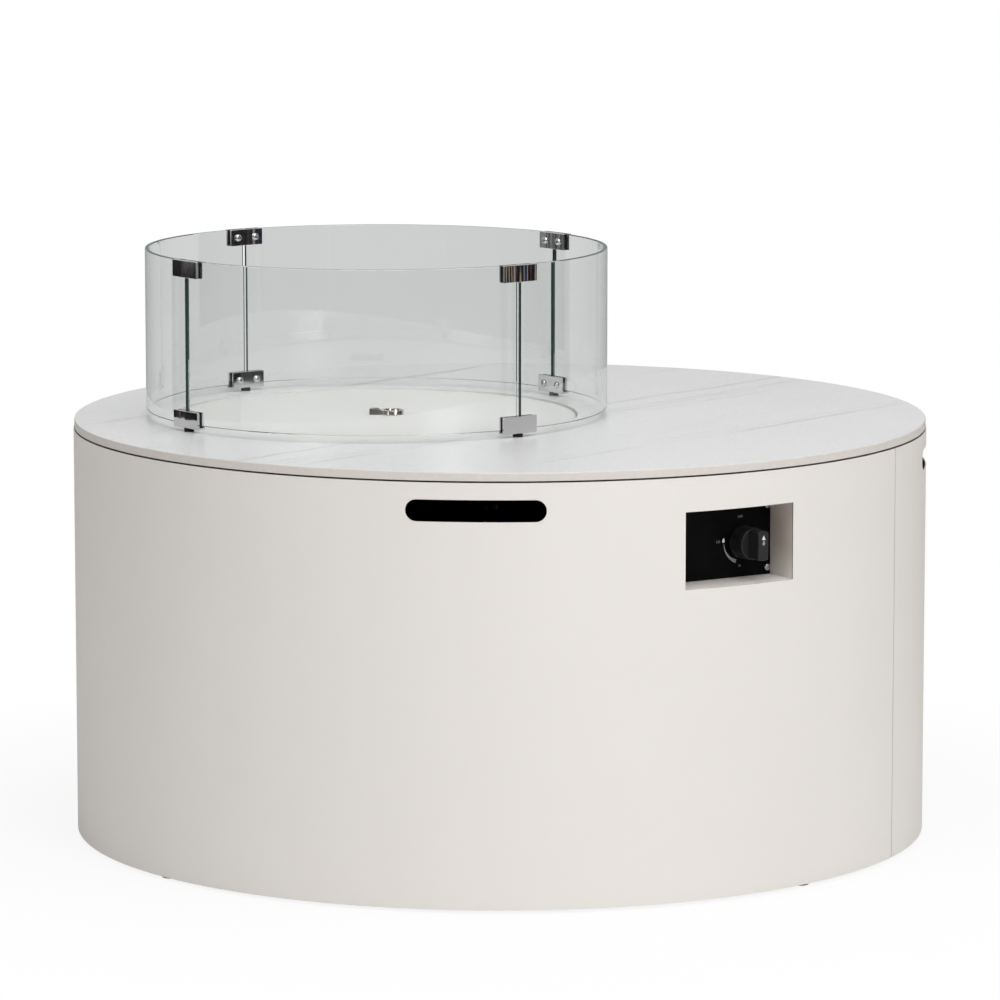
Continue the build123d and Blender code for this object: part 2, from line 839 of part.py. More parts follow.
def make_valve_plunger():
    top = -(stem_tail + running_gap)
    return on_panel(Pos(knob_right, knob_up) * rod(Circle(plunger_radius), top - plunger_length, top))


def make_control_knob():
    """Round hollow skirt with a tapered grip bar across its face."""
    skirt = Pos(0, 0, knob_skirt / 2) * Cone(knob_radius, knob_top_radius, knob_skirt)
    skirt = fillet(skirt.edges().group_by(Axis.Z)[-1], knob_round)
    grip = rod(Rectangle(grip_width, 2 * knob_radius), knob_web, knob_skirt)
    grip += Pos(0, 0, knob_skirt) * extrude(Rectangle(grip_width, 2 * knob_radius), grip_height,
                                            taper=grip_taper)
    grip &= disc(knob_top_radius - knob_round, 0, knob_skirt + grip_height)
    grip = fillet(grip.edges().group_by(Axis.Z)[-1], grip_round)
    knob = skirt + grip
    knob -= rod(Circle(knob_radius - knob_wall), 0, knob_cavity)
    hub = Circle(knob_hub_radius) - shaft_flat(stem_radius + slip_gap, stem_flat + slip_gap)
    knob += rod(hub, knob_hub_recess, knob_cavity)
    return on_panel(Pos(knob_right, knob_up, knob_gap) * knob)


def make_burner_cover():
    cover = disc(cover_radius, pan_flange_top, cover_top)
    cover = fillet(cover.edges().group_by(Axis.Z)[-1], cover_round)
    cover -= disc(cover_radius - cover_sheet, pan_flange_top, cover_top - cover_sheet)
    cover -= Pos(pull_screw_right(), 0, 0) * disc(pull_screw_radius + slip_gap, slab_bottom, table_height)
    return at_burner(cover)


def pull_screw_right():
    """The fixing screw goes up into the solid back of the pull bracket."""
    return -(pull_back + pull_slot_back) / 2


def make_pull_bracket():
    """Clevis block with a rounded front, open in the middle for the ring's lug."""
    rise = pull_pin_level - cover_top
    top = rise + pull_ear_radius
    side = Pos(-pull_back / 2, top / 2) * Rectangle(pull_back, top)
    side += Pos(pull_ear_radius / 2, rise / 2) * Rectangle(pull_ear_radius, rise)
    side += Pos(0, rise) * Circle(pull_ear_radius)
    block = extrude(Plane.XZ * side, pull_width / 2, both=True)
    block -= disc(pull_width + pull_back, -pull_ear_radius, 0)
    block = fillet(block.edges().filter_by(Axis.Y).group_by(Axis.X)[0].group_by(Axis.Z)[-1], pull_round)
    gap = pull_lug_width + 2 * pull_side_gap
    slot = Pos(pull_ear_radius, 0) * Rectangle(2 * (pull_slot_back + pull_ear_radius), gap)
    block -= rod(slot, -through, top + through)
    block -= Pos(0, 0, rise) * Rot(90, 0, 0) * Cylinder(pull_pin_radius + slip_gap, pull_width + through)
    block -= Pos(pull_screw_right(), 0, 0) * disc(pull_screw_radius + slip_gap, 0, pull_screw_bite)
    return at_burner(Pos(0, 0, cover_top) * block)


def make_pull_pin():
    pin = Rot(90, 0, 0) * Cylinder(pull_pin_radius, pull_width)
    return at_burner(Pos(0, 0, pull_pin_level) * pin)


def make_pull_screw():
    under = cover_top - cover_sheet
    screw = rod(Circle(pull_screw_head_radius), under - pull_screw_head_height, under)
    screw += rod(Circle(pull_screw_radius), under, cover_top + pull_screw_bite)
    return at_burner(Pos(pull_screw_right(), 0, 0) * screw)


def make_pull_ring():
    half = ring_height / 2
    ring = Pos(ring_centre, 0, 0) * tube(ring_inner_radius, ring_outer_radius, -half, half)
    ring = fillet(ring.edges().filter_by(GeomType.CIRCLE), ring_round)
    lug_end = (ring_pin_gap + ring_centre - ring_inner_radius) / 2
    lug = Pos(lug_end / 2, 0) * Rectangle(lug_end, pull_lug_width)
    lug_nose = Rot(90, 0, 0) * Cylinder(half, pull_lug_width)
    ring = ring + rod(lug, -half, half) + lug_nose
    ring -= Rot(90, 0, 0) * Cylinder(pull_pin_radius + running_gap, pull_width)
    return at_burner(Pos(0, 0, pull_pin_level) * ring)


def joint_azimuth(number):
    return glass_joint_azimuth + 360 / glass_panel_count * number


def make_glass_panel(number):
    gap = math.degrees(glass_joint_gap / 2 / glass_middle)
    panel = wall(glass_inner, glass_radius, glass_bottom, glass_top,
                 joint_azimuth(number) + gap, joint_azimuth(number + 1) - gap)
    return at_burner(chamfer(panel.edges(), glass_edge))


def clip_outline():
    """Two flat facets on each side, meeting at the joint between two panes."""
    stretch = 1 / math.cos(math.radians(clip_half_angle / 2))
    outer = (clip_slot_outer + clip_wall) * stretch
    inner = (clip_slot_inner - clip_wall) * stretch
    turns = [math.radians(clip_half_angle * step) for step in (-1, 0, 1)]
    points = [(outer * math.sin(turn), -outer * math.cos(turn)) for turn in turns]
    points += [(inner * math.sin(turn), -inner * math.cos(turn)) for turn in reversed(turns)]
    return make_face(Polyline(*points, close=True))


def clip_screw_plane(level, side):
    """The inner facet at a screw, with z pointing to the middle of the guard."""
    turn = math.radians(clip_half_angle / 2 * side)
    inward = Vector(-math.sin(turn), math.cos(turn), 0)
    reach = clip_slot_inner - clip_wall
    along = Vector(-inward.Y, inward.X, 0) * clip_screw_shift * -side
    origin = inward * -reach + along + Vector(0, 0, level)
    return Plane(origin=origin, x_dir=Vector(0, 0, 1), z_dir=inward)


def joint_web(width):
    """The strip that stands in the gap between two panes and ties a clip's two plates together."""
    depth = clip_slot_outer - clip_slot_inner + 2 * through
    strip = rod(Rectangle(width, depth), table_height, upper_clip_top + through)
    return Pos(0, -glass_middle, 0) * strip


def make_clip(bottom, slot_low, slot_high, number):
    clip = chamfer(rod(clip_outline(), bottom, bottom + clip_height).edges(), clip_edge)
    clip -= tube(clip_slot_inner, clip_slot_outer, slot_low, slot_high) - joint_web(clip_joint_web)
    for side in (-1, 1):
        hole = extrude(Circle(clip_screw_radius + slip_gap), through + clip_wall, both=True)
        clip -= clip_screw_plane(bottom + clip_height / 2, side) * hole
    return at_burner(at_azimuth(clip, joint_azimuth(number)))


def make_lower_clip(number):
    top = lower_clip_bottom + clip_height
    return make_clip(lower_clip_bottom, lower_clip_bottom + clip_web, top + through, number)


def make_upper_clip(number):
    bottom = upper_clip_top - clip_height
    return make_clip(bottom, bottom - through, upper_clip_top + through, number)


def clip_liner(low, high, number):
    """Rubber strips between a clip and the glass."""
    turn = clip_half_angle - math.degrees(liner_inset / glass_middle)
    liner = wall(clip_slot_inner + slip_gap, clip_slot_outer - slip_gap, low, high, -turn, turn)
    liner -= tube(glass_inner - slip_gap, glass_radius + slip_gap, glass_bottom, glass_top)
    liner -= joint_web(clip_joint_web + 2 * slip_gap)
    return at_burner(at_azimuth(liner, joint_azimuth(number)))


def make_clip_liners():
    lower = (lower_clip_bottom + clip_web, lower_clip_bottom + clip_height - liner_inset)
    upper = (upper_clip_top - clip_height + liner_inset, glass_top - liner_inset)
    return [clip_liner(*span, number) for span in (lower, upper) for number in range(glass_panel_count)]


def make_clip_screws():
    screw = pan_head_screw(clip_screw_radius, clip_wall - 2 * slip_gap, clip_screw_head_radius,
                           clip_screw_head_height, clip_screw_round)
    levels = (lower_clip_bottom + clip_height / 2, upper_clip_top - clip_height / 2)
    return [at_burner(at_azimuth(clip_screw_plane(level, side) * screw, joint_azimuth(number)))
            for level in levels for number in range(glass_panel_count) for side in (-1, 1)]


def make_guard_feet():
    foot = Pos(0, -glass_middle, 0) * disc(guard_foot_radius, table_height, lower_clip_bottom)
    return [at_burner(at_azimuth(foot, joint_azimuth(number))) for number in range(glass_panel_count)]


def all_nodes():
    nodes = {
        "front_panel": make_front_panel(),
        "rear_panel": make_rear_panel(),
        "base_ring": make_base_ring(),
        "top_ring": make_top_ring(),
        "base_plate": make_base_plate(),
        "tank_collar": make_tank_collar(),
        "levelling_feet": make_levelling_feet(),
        "frame_posts": make_frame_posts(),
        "top_deck": make_top_deck(),
        "slab_pads": make_slab_pads(),
        "table_top": make_table_top(),
        "burner_pan": make_burner_pan(),
        "burner_ring": make_burner_ring(),
        "burner_locknut": make_burner_locknut(),
        "mixer_tube": make_mixer_tube(),
        "gas_jet": make_gas_jet(),
        "supply_pipe": make_supply_pipe(),
        "pipe_nuts": make_pipe_nuts(),
        "ignition_lead": make_ignition_lead(),
        "sensor_lead": make_sensor_lead(),
        "lead_clips": make_lead_clips(),
        "spark_electrode": make_spark_electrode(),
        "flame_sensor": make_flame_sensor(),
        "igniter_bracket": make_igniter_bracket(),
        "control_box": make_control_box(),
        "control_panel": make_control_panel(),
        "panel_screws": make_panel_screws(),
        "gas_valve": make_gas_valve(),
        "valve_nut": make_valve_nut(),
        "gas_inlet": make_gas_inlet(),
        "piezo_igniter": make_piezo_igniter(),
        "valve_plunger": make_valve_plunger(),
        "valve_stem": make_valve_stem(),
        "control_knob": make_control_knob(),
        "hinge_fixed_leaf": make_hinge_fixed_leaf(),
        "hinge_pin": make_hinge_pin(),
        "catch_magnets": make_catch_magnets(),
        "access_door": make_access_door(),
        "hinge_door_leaf": make_hinge_door_leaf(),
        "catch_strikes": make_catch_strikes(),
        "burner_cover": make_burner_cover(),
        "pull_bracket": make_pull_bracket(),
        "pull_pin": make_pull_pin(),
        "pull_screw": make_pull_screw(),
        "pull_ring": make_pull_ring(),
        "clip_liners": make_clip_liners(),
        "clip_screws": make_clip_screws(),
        "guard_feet": make_guard_feet(),
    }
    for number in range(glass_panel_count):
        nodes[f"glass_panel_{number + 1}"] = make_glass_panel(number)
        nodes[f"upper_clip_{number + 1}"] = make_upper_clip(number)
        nodes[f"lower_clip_{number + 1}"] = make_lower_clip(number)
    return nodes


def main():
    os.makedirs("parts", exist_ok=True)
    for name, shape in all_nodes().items():
        pieces = shape if isinstance(shape, list) else [shape]
        solids = [solid for piece in pieces for solid in piece.solids()]
        whole = solids[0] if len(solids) == 1 else Compound(solids)
        export_step(whole, f"parts/{name}.step")
        print(name, len(solids), "solids,", round(sum(solid.volume for solid in solids)), "mm3")


main()
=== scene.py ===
# %% [markdown]
# # A round gas fire pit table
# This lesson dresses a finished CAD model. Every solid of the table arrives in its place and at its
# real size, in metres, with z up and the front towards -Y. The work here is what a CAD model lacks:
# finishes with grain and wear, printed marks, the small fasteners, and a studio to look at it in.

# %% Load the frame
import json
import math

import bmesh
import bpy
from mathutils import Matrix, Vector


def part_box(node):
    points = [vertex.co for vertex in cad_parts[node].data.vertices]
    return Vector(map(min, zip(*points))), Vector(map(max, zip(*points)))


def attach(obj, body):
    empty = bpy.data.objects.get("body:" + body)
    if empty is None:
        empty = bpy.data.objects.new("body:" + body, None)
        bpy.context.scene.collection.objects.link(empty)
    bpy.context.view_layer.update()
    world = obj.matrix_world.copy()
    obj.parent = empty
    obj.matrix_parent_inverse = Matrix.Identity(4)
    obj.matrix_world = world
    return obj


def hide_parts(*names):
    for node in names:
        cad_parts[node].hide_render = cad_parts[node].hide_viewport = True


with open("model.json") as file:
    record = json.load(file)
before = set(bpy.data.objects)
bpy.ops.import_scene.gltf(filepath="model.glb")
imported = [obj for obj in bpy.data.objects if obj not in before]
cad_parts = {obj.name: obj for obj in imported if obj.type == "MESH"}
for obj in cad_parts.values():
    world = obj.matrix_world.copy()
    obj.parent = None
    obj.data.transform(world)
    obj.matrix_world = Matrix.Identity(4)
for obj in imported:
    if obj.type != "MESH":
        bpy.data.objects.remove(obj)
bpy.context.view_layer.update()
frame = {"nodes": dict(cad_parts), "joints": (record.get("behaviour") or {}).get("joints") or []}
cad = frame["nodes"]
joints = {joint["name"]: joint for joint in frame["joints"]}
mm = 0.001

# %% [markdown]
# ## Places read from the model
# A finish that changes at an edge, or a mark that lies on a panel, needs to know where things are.
# Reading those places from the model keeps the lesson true when a size changes, which typed numbers
# would not.

# %% Places
UP = Vector((0, 0, 1))
table_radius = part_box("table_top")[1].x
shell_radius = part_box("access_door")[1].x
pan_low, pan_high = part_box("burner_pan")
burner_axis = Vector(((pan_low.x + pan_high.x) / 2, (pan_low.y + pan_high.y) / 2, 0))
glass_low, glass_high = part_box("glass_panel_1")
knob_centre = Vector(joints["knob_turn"]["pos_m"])
panel_out = Vector(joints["knob_turn"]["axis"]).normalized()
panel_right = UP.cross(panel_out)
print("table radius", round(table_radius, 4), "burner axis", burner_axis.x, "knob", knob_centre[:])

# %% [markdown]
# ## Small helpers for materials
# A material is a graph of nodes. Written out in full, each node takes several lines, so one helper
# makes a node and fills its sockets: a plain value is set, and another node's output is linked.
# Patterns read Object coordinates. Every object sits at the origin, so these are metres in the model,
# and a pattern made for one piece carries on over its neighbour.

# %% Nodes and finishes
def add(tree, kind, inputs=None, **settings):
    """Make a node, set its properties, and fill its inputs with values or links."""
    made = tree.nodes.new(kind)
    for name, value in settings.items():
        setattr(made, name, value)
    for name, value in (inputs or {}).items():
        if isinstance(value, bpy.types.NodeSocket):
            tree.links.new(value, made.inputs[name])
        else:
            made.inputs[name].default_value = value
    return made


def new_finish(name, colour, roughness, metallic=0.0, shine=0.5):
    """A material with one Principled shader. Returns it with its tree, shader and coordinates."""
    finish = bpy.data.materials.new(name)
    finish.use_nodes = True
    tree = finish.node_tree
    shader = tree.nodes["Principled BSDF"]
    shader.inputs["Base Color"].default_value = (*colour, 1)
    shader.inputs["Roughness"].default_value = roughness
    shader.inputs["Metallic"].default_value = metallic
    shader.inputs["Specular IOR Level"].default_value = shine
    coords = add(tree, "ShaderNodeTexCoord").outputs["Object"]
    return finish, tree, shader, coords


def paint(tree, shader, colour=None, roughness=None):
    """Link a pattern to the shader's colour, its roughness or both."""
    if colour is not None:
        tree.links.new(colour, shader.inputs["Base Color"])
    if roughness is not None:
        tree.links.new(roughness, shader.inputs["Roughness"])


def raise_bump(tree, shader, height, strength=1.0, distance=1.0):
    """Tilt the shading by a height, which is in metres unless a distance scales it."""
    made = add(tree, "ShaderNodeBump", {"Height": height, "Strength": strength, "Distance": distance})
    tree.links.new(made.outputs[0], shader.inputs["Normal"])


def shade(colour, factor):
    """A colour made darker or lighter."""
    return tuple(min(1.0, channel * factor) for channel in colour)


print("helpers:", [helper.__name__ for helper in (add, new_finish, paint, raise_bump, shade)])

# %% Patterns
GRAIN = (0.3, 0.7)
CLOUD = (0.35, 0.65)
GRAIN_DEPTH = 0.1 * mm


def noise(tree, coords, scale=1.0, detail=2.0, rough=0.5):
    """Noise with about so many lumps to a metre, or to a unit of stretched coordinates."""
    made = add(tree, "ShaderNodeTexNoise",
               {"Vector": coords, "Scale": scale, "Detail": detail, "Roughness": rough})
    return made.outputs["Fac"]


def ranged(tree, value, old_low, old_high, low, high):
    """Spread a value that runs between two old ends over two new ones."""
    made = add(tree, "ShaderNodeMapRange", {"Value": value, "From Min": old_low, "From Max": old_high,
                                            "To Min": low, "To Max": high})
    return made.outputs["Result"]


def maths(tree, operation, first, second=0.0):
    return add(tree, "ShaderNodeMath", {0: first, 1: second}, operation=operation).outputs[0]


def mixed(tree, share, first, second):
    """Blend two colours: share 0 is the first, and 1 the second."""
    made = add(tree, "ShaderNodeMix", {0: share}, data_type="RGBA")
    for socket, value in ((made.inputs[6], first), (made.inputs[7], second)):
        if isinstance(value, bpy.types.NodeSocket):
            tree.links.new(value, socket)
        else:
            socket.default_value = (*value, 1)
    return made.outputs[2]


def speckled(tree, pattern, ends, first, second, most=1.0):
    """Blend two colours by a noise, whose values crowd between two ends such as GRAIN or CLOUD."""
    return mixed(tree, ranged(tree, pattern, *ends, 0, most), first, second)


def gloss(tree, pattern, ends, roughness, smoother, rougher):
    """A roughness that a noise makes a little smoother here and rougher there."""
    return ranged(tree, pattern, *ends, roughness - smoother, roughness + rougher)


print("noise is read between", GRAIN, "for grain and", CLOUD, "for clouds")

# %% Places in a material
def axis_of(tree, coords, letter):
    """One coordinate of a place."""
    return add(tree, "ShaderNodeSeparateXYZ", {0: coords}).outputs[letter]


def stretched(tree, coords, scale, turn=0.0, place=(0, 0, 0)):
    """Object coordinates moved to a place, turned about z and scaled along each axis."""
    moved = add(tree, "ShaderNodeMapping", {"Vector": coords, "Location": [-v for v in place]})
    turned = add(tree, "ShaderNodeMapping", {"Vector": moved.outputs[0], "Rotation": (0, 0, -turn)})
    return add(tree, "ShaderNodeMapping", {"Vector": turned.outputs[0], "Scale": scale}).outputs[0]


def from_axis(tree, coords, place=(0, 0, 0)):
    """Distance from an upright axis, for finishes that run in rings or change at a radius."""
    flat = stretched(tree, coords, (1, 1, 0), place=place)
    return add(tree, "ShaderNodeVectorMath", {0: flat}, operation="LENGTH").outputs["Value"]


print("rings can run about the burner's axis at", burner_axis[:])

# %% [markdown]
# ## Powder coat
# The rolled body is steel sheet with a satin powder coat. Baked powder never lies quite flat: it has a
# fine orange peel, and its colour drifts by a percent or two over a large panel. A flat colour would
# look like plastic, and an image would need a photograph, so two noises do it, a large one for colour
# and a small one for the peel. The inside face of the sheet is painted near black, so the same material
# changes at the sheet's own radius, and the hand slots then look into a dark body.

# %% Powder coats
BODY_COLOUR = (0.775, 0.742, 0.705)
COVER_COLOUR = (0.785, 0.783, 0.760)
FRAME_COLOUR = (0.016, 0.016, 0.017)
# Painted light: the deck and the top ring are a light brown, so the thin gap under the slab, where they
# show, reads lighter, as if lit.
DECK_LIGHTENED_COLOUR = (0.300, 0.205, 0.160)
# Near black on the inside face of the sheet, so the hand slots look into a dark body.
INSIDE_BLACK_COLOUR = (0.020, 0.020, 0.021)
POWDER_SHINE = 0.35
BODY_PEEL = 650.0
COVER_PEEL = 420.0
FRAME_PEEL = 900.0
PEEL_DEPTH = 0.2 * mm
SHEET_MIDDLE = shell_radius - 1.0 * mm


def orange_peel(tree, shader, coords, tone, colour, roughness, peel_scale):
    """Set the peel's gloss and relief, and return the tone with its specks."""
    speck = noise(tree, coords, peel_scale, rough=0.6)
    satin = gloss(tree, speck, GRAIN, roughness, smoother=0.05, rougher=0.06)
    paint(tree, shader, roughness=satin)
    raise_bump(tree, shader, speck, strength=0.12, distance=PEEL_DEPTH)
    return speckled(tree, speck, GRAIN, tone, shade(colour, 0.97), most=0.25)


def powder_coat(name, colour, roughness, peel_scale=BODY_PEEL, inside_radius=None):
    finish, tree, shader, coords = new_finish(name, colour, roughness, shine=POWDER_SHINE)
    drift = noise(tree, coords, scale=2.2, detail=3.0)
    tone = speckled(tree, drift, CLOUD, shade(colour, 0.985), shade(colour, 1.012))
    tone = orange_peel(tree, shader, coords, tone, colour, roughness, peel_scale)
    if inside_radius:
        inside = maths(tree, "LESS_THAN", from_axis(tree, coords), inside_radius)
        tone = mixed(tree, inside, tone, INSIDE_BLACK_COLOUR)
    paint(tree, shader, tone)
    return finish


body_paint = powder_coat("body_powder_coat", BODY_COLOUR, roughness=0.46, inside_radius=SHEET_MIDDLE)
cover_paint = powder_coat("cover_powder_coat", COVER_COLOUR, roughness=0.5, peel_scale=COVER_PEEL)
frame_paint = powder_coat("frame_powder_coat", FRAME_COLOUR, roughness=0.55, peel_scale=FRAME_PEEL)
# Painted light: this light brown coat makes the shaded gap under the slab read lighter.
deck_painted_light = powder_coat("deck_brown_painted_light", DECK_LIGHTENED_COLOUR, roughness=0.6, peel_scale=FRAME_PEEL)
print("the coat turns to primer", round(SHEET_MIDDLE, 4), "m from the axis")

# %% Coat of the control recess, with painted light and shade
# Painted shade: the recess's side walls are coloured darker and warmer than the body's own coat.
RECESS_WALL_SHADE_COLOUR = (0.690, 0.620, 0.555)
# Painted light: the sill is coloured lighter than the body's own coat.
SILL_LIT_COLOUR = shade(BODY_COLOUR, 1.14)
SILL_LIGHT_FADE = (2 * mm, 40 * mm)


def recess_coat_with_painted_light(name, wall_shade_tone, sill_light_tone, roughness):
    """The folded box behind the window, with painted light and shade: the sill and the lowest four
    centimetres of the walls are coloured lighter, for the light that falls on the sill, and the walls
    above are darker, for their shade.
    """
    finish, tree, shader, coords = new_finish(name, wall_shade_tone, roughness, shine=POWDER_SHINE)
    low, high = (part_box("control_box")[0].z + reach for reach in SILL_LIGHT_FADE)
    sill_light_share = ranged(tree, axis_of(tree, coords, "Z"), low, high, 1, 0)
    tone = mixed(tree, sill_light_share, wall_shade_tone, sill_light_tone)
    paint(tree, shader, orange_peel(tree, shader, coords, tone, wall_shade_tone, roughness, BODY_PEEL))
    return finish


recess_finish_painted_light = recess_coat_with_painted_light("control_recess_light_and_shade_coat", RECESS_WALL_SHADE_COLOUR, SILL_LIT_COLOUR, roughness=0.46)

# %% [markdown]
# ## Veined stone
# The top is a thin sintered slab, pale and almost even, with a few soft grey veins that all run one
# way. A marble texture with veins everywhere would be too busy. Here the coordinates are turned to lie
# along the veins and bent a little by noise, and a colour ramp across them says where each vein is. A
# second noise along the veins lets them fade in and out. The sawn edge keeps the warmer raw colour.

# %% Veins
VEIN_TURN = math.radians(53.5)
VEIN_SPREAD = 1.2
VEIN_SOFT_SIDE = 2.2
VEINS = ((-0.322, 0.0035, 0.42), (-0.304, 0.002, 0.14), (-0.245, 0.004, 0.06), (-0.114, 0.004, 0.27),
         (-0.095, 0.003, 0.31), (-0.078, 0.004, 0.29), (-0.037, 0.0035, 0.32), (0.120, 0.005, 0.16),
         (0.215, 0.003, 0.12), (0.336, 0.006, 0.45))


def vein_ramp(tree, across):
    """Dark stops on a pale ramp, one for each vein: its place, half width and depth."""
    share = ranged(tree, across, -VEIN_SPREAD / 2, VEIN_SPREAD / 2, 0, 1)
    ramp = add(tree, "ShaderNodeValToRGB", {"Fac": share})
    stops = ramp.color_ramp.elements
    stops[0].color = stops[1].color = (0, 0, 0, 1)
    for place, half, depth in VEINS:
        for shift, level in ((-half * VEIN_SOFT_SIDE, 0.0), (0.0, depth), (half, 0.0)):
            stop = stops.new(0.5 + (place + shift) / VEIN_SPREAD)
            stop.color = (level, level, level, 1)
    return ramp.outputs["Color"]


def along_veins(tree, coords, scale, detail, rough=0.5, place=(0, 0, 0)):
    """A noise that is drawn out along the veins."""
    drawn = stretched(tree, coords, scale, VEIN_TURN, place)
    return noise(tree, drawn, detail=detail, rough=rough)


def bent(tree, across, pattern, reach):
    """A distance shifted to either side by a pattern."""
    return maths(tree, "ADD", across, ranged(tree, pattern, 0, 1, -reach, reach))


print("veins:", len(VEINS))

# %% Stone
STONE_COLOUR = (0.738, 0.738, 0.740)
STONE_EDGE_COLOUR = (0.675, 0.634, 0.592)
VEIN_COLOUR = (0.30, 0.30, 0.31)
VEIN_WANDER = 28 * mm
VEIN_JAG = 9 * mm
FADE_PLACE = (6.9, 5.1, 0)
FADE_ENDS = (0.40, 0.60)
FADE_DEPTHS = (0.05, 1.5)
SLAB_POLISH = (0.25, 0.35)
EDGE_DEPTH = 0.6 * mm
EDGE_DULLNESS = 0.4


def slab_face(tree, coords):
    """The polished face: pale clouds with the veins in them."""
    across = axis_of(tree, stretched(tree, coords, (1, 1, 1), VEIN_TURN), "Y")
    wander = along_veins(tree, coords, (2.2, 9.0, 1), detail=4.0, rough=0.55)
    jag = along_veins(tree, coords, (24, 60, 1), detail=4.0, rough=0.6)
    across = bent(tree, bent(tree, across, wander, VEIN_WANDER), jag, VEIN_JAG)
    fade = along_veins(tree, coords, (5.0, 14.0, 1), detail=3.0, place=FADE_PLACE)
    strength = ranged(tree, fade, *FADE_ENDS, *FADE_DEPTHS)
    depth = maths(tree, "MULTIPLY", vein_ramp(tree, across), strength)
    cloud = noise(tree, coords, scale=5.0, detail=5.0, rough=0.6)
    tone = speckled(tree, cloud, CLOUD, shade(STONE_COLOUR, 0.975), STONE_COLOUR)
    return mixed(tree, depth, tone, VEIN_COLOUR)


def veined_stone():
    finish, tree, shader, coords = new_finish("veined_stone", STONE_COLOUR, roughness=0.22, shine=0.45)
    raw = noise(tree, coords, scale=160.0, detail=4.0, rough=0.65)
    edge = speckled(tree, raw, GRAIN, shade(STONE_EDGE_COLOUR, 0.94), STONE_EDGE_COLOUR)
    side = maths(tree, "GREATER_THAN", from_axis(tree, coords), table_radius - EDGE_DEPTH)
    grain = noise(tree, coords, scale=1400.0)
    polish = ranged(tree, grain, *GRAIN, *SLAB_POLISH)
    polish = maths(tree, "ADD", polish, maths(tree, "MULTIPLY", side, EDGE_DULLNESS))
    paint(tree, shader, mixed(tree, side, slab_face(tree, coords), edge), polish)
    raise_bump(tree, shader, grain, strength=0.03, distance=GRAIN_DEPTH)
    return finish


stone = veined_stone()
print("the raw edge starts", round(table_radius - EDGE_DEPTH, 4), "m from the axis")

# %% [markdown]
# ## Glass
# The wind guard is four bent panes of 5 mm float glass. Clear glass looks green only where light runs
# a long way through it. Tinting the shader would colour the faces as much as the edges, so the faces
# stay clear and a volume absorbs red a little more than green, as iron in glass does.

# %% Glass
CLEAR_COLOUR = (0.990, 0.992, 0.991)
SMEAR_COLOUR = (0.978, 0.982, 0.980)
IRON_COLOUR = (0.0, 0.55, 0.38, 1)
IRON_DENSITY = 3.5


def guard_glass():
    finish, tree, shader, coords = new_finish("guard_glass", CLEAR_COLOUR, roughness=0.0)
    shader.inputs["Transmission Weight"].default_value = 1.0
    shader.inputs["IOR"].default_value = 1.5
    smear = noise(tree, stretched(tree, coords, (6, 6, 2)), detail=3.0)
    paint(tree, shader, speckled(tree, smear, GRAIN, CLEAR_COLOUR, SMEAR_COLOUR))
    iron = add(tree, "ShaderNodeVolumeAbsorption", {"Color": IRON_COLOUR, "Density": IRON_DENSITY})
    tree.links.new(iron.outputs[0], tree.nodes["Material Output"].inputs["Volume"])
    return finish


glass = guard_glass()
print("glass from", round(glass_low.z, 4), "to", round(glass_high.z, 4))

# %% [markdown]
# ## Polished metal
# Chrome is almost a mirror with the faintest haze. The clips are polished on a soft wheel before
# plating, which leaves slow upright waves and rounds the lower ones off like a pillow. A bump of less
# than half a millimetre is enough to break a mirror image into bands, so the mesh can stay flat. The
# ring pull is polished by hand, so it waves more and its faces lean. Copper is only wiped.

# %% Clip plate
CHROME_COLOUR = (0.72, 0.72, 0.73)
POLISH = (0.35, 0.7)
CLIP_WAVE = 0.42 * mm
CLIP_PILLOW = 1.2
CLIP_LEAN = 0.075
FRONT_CLIP_LEAN = 0.16 * CLIP_LEAN
LEAN_ENDS = (-0.15, 0.15)
clip_level = (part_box("lower_clip_1")[0].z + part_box("lower_clip_1")[1].z) / 2
glass_middle = (glass_low.z + glass_high.z) / 2


def clouded(tree, coords, colour, scale=30.0, dark=0.95):
    """A slow pattern, and the metal's colour a little darker where it is low."""
    cloud = noise(tree, coords, scale, detail=3.0)
    return cloud, speckled(tree, cloud, CLOUD, shade(colour, dark), colour)


def upright_waves(tree, coords, squeeze, height):
    wave = noise(tree, stretched(tree, coords, squeeze), detail=1.0)
    return maths(tree, "MULTIPLY", wave, height)


def clip_pillow(tree, coords):
    """How far the lower clips' faces fall away from their middle. The left pair also lean."""
    place = add(tree, "ShaderNodeSeparateXYZ", {0: coords}).outputs
    off = maths(tree, "SUBTRACT", place["Z"], clip_level)
    sag = maths(tree, "MULTIPLY", maths(tree, "MULTIPLY", off, off), -CLIP_PILLOW)
    left = maths(tree, "LESS_THAN", place["X"], burner_axis.x)
    lean = ranged(tree, place["Y"], *LEAN_ENDS, -FRONT_CLIP_LEAN, -CLIP_LEAN)
    tilt = maths(tree, "MULTIPLY", off, maths(tree, "MULTIPLY", left, lean))
    lower = maths(tree, "LESS_THAN", place["Z"], glass_middle)
    return maths(tree, "MULTIPLY", maths(tree, "ADD", sag, tilt), lower)


def clip_plate(name, colour, roughness, haze):
    finish, tree, shader, coords = new_finish(name, colour, roughness, metallic=1.0)
    cloud, tone = clouded(tree, coords, colour)
    paint(tree, shader, tone, gloss(tree, cloud, POLISH, roughness, smoother=0, rougher=haze))
    wave = upright_waves(tree, coords, squeeze=(90, 90, 5), height=CLIP_WAVE)
    raise_bump(tree, shader, maths(tree, "ADD", clip_pillow(tree, coords), wave))
    return finish


chrome = clip_plate("clip_chrome_plate", CHROME_COLOUR, roughness=0.05, haze=0.04)
print("lower clips are centred", round(clip_level, 4), "m up")

# %% Ring pull and copper
PULL_COLOUR = (0.66, 0.61, 0.57)
PULL_LEAN = 0.16
PULL_WAVE = 1.0 * mm
COPPER_COLOUR = (0.62, 0.34, 0.22)


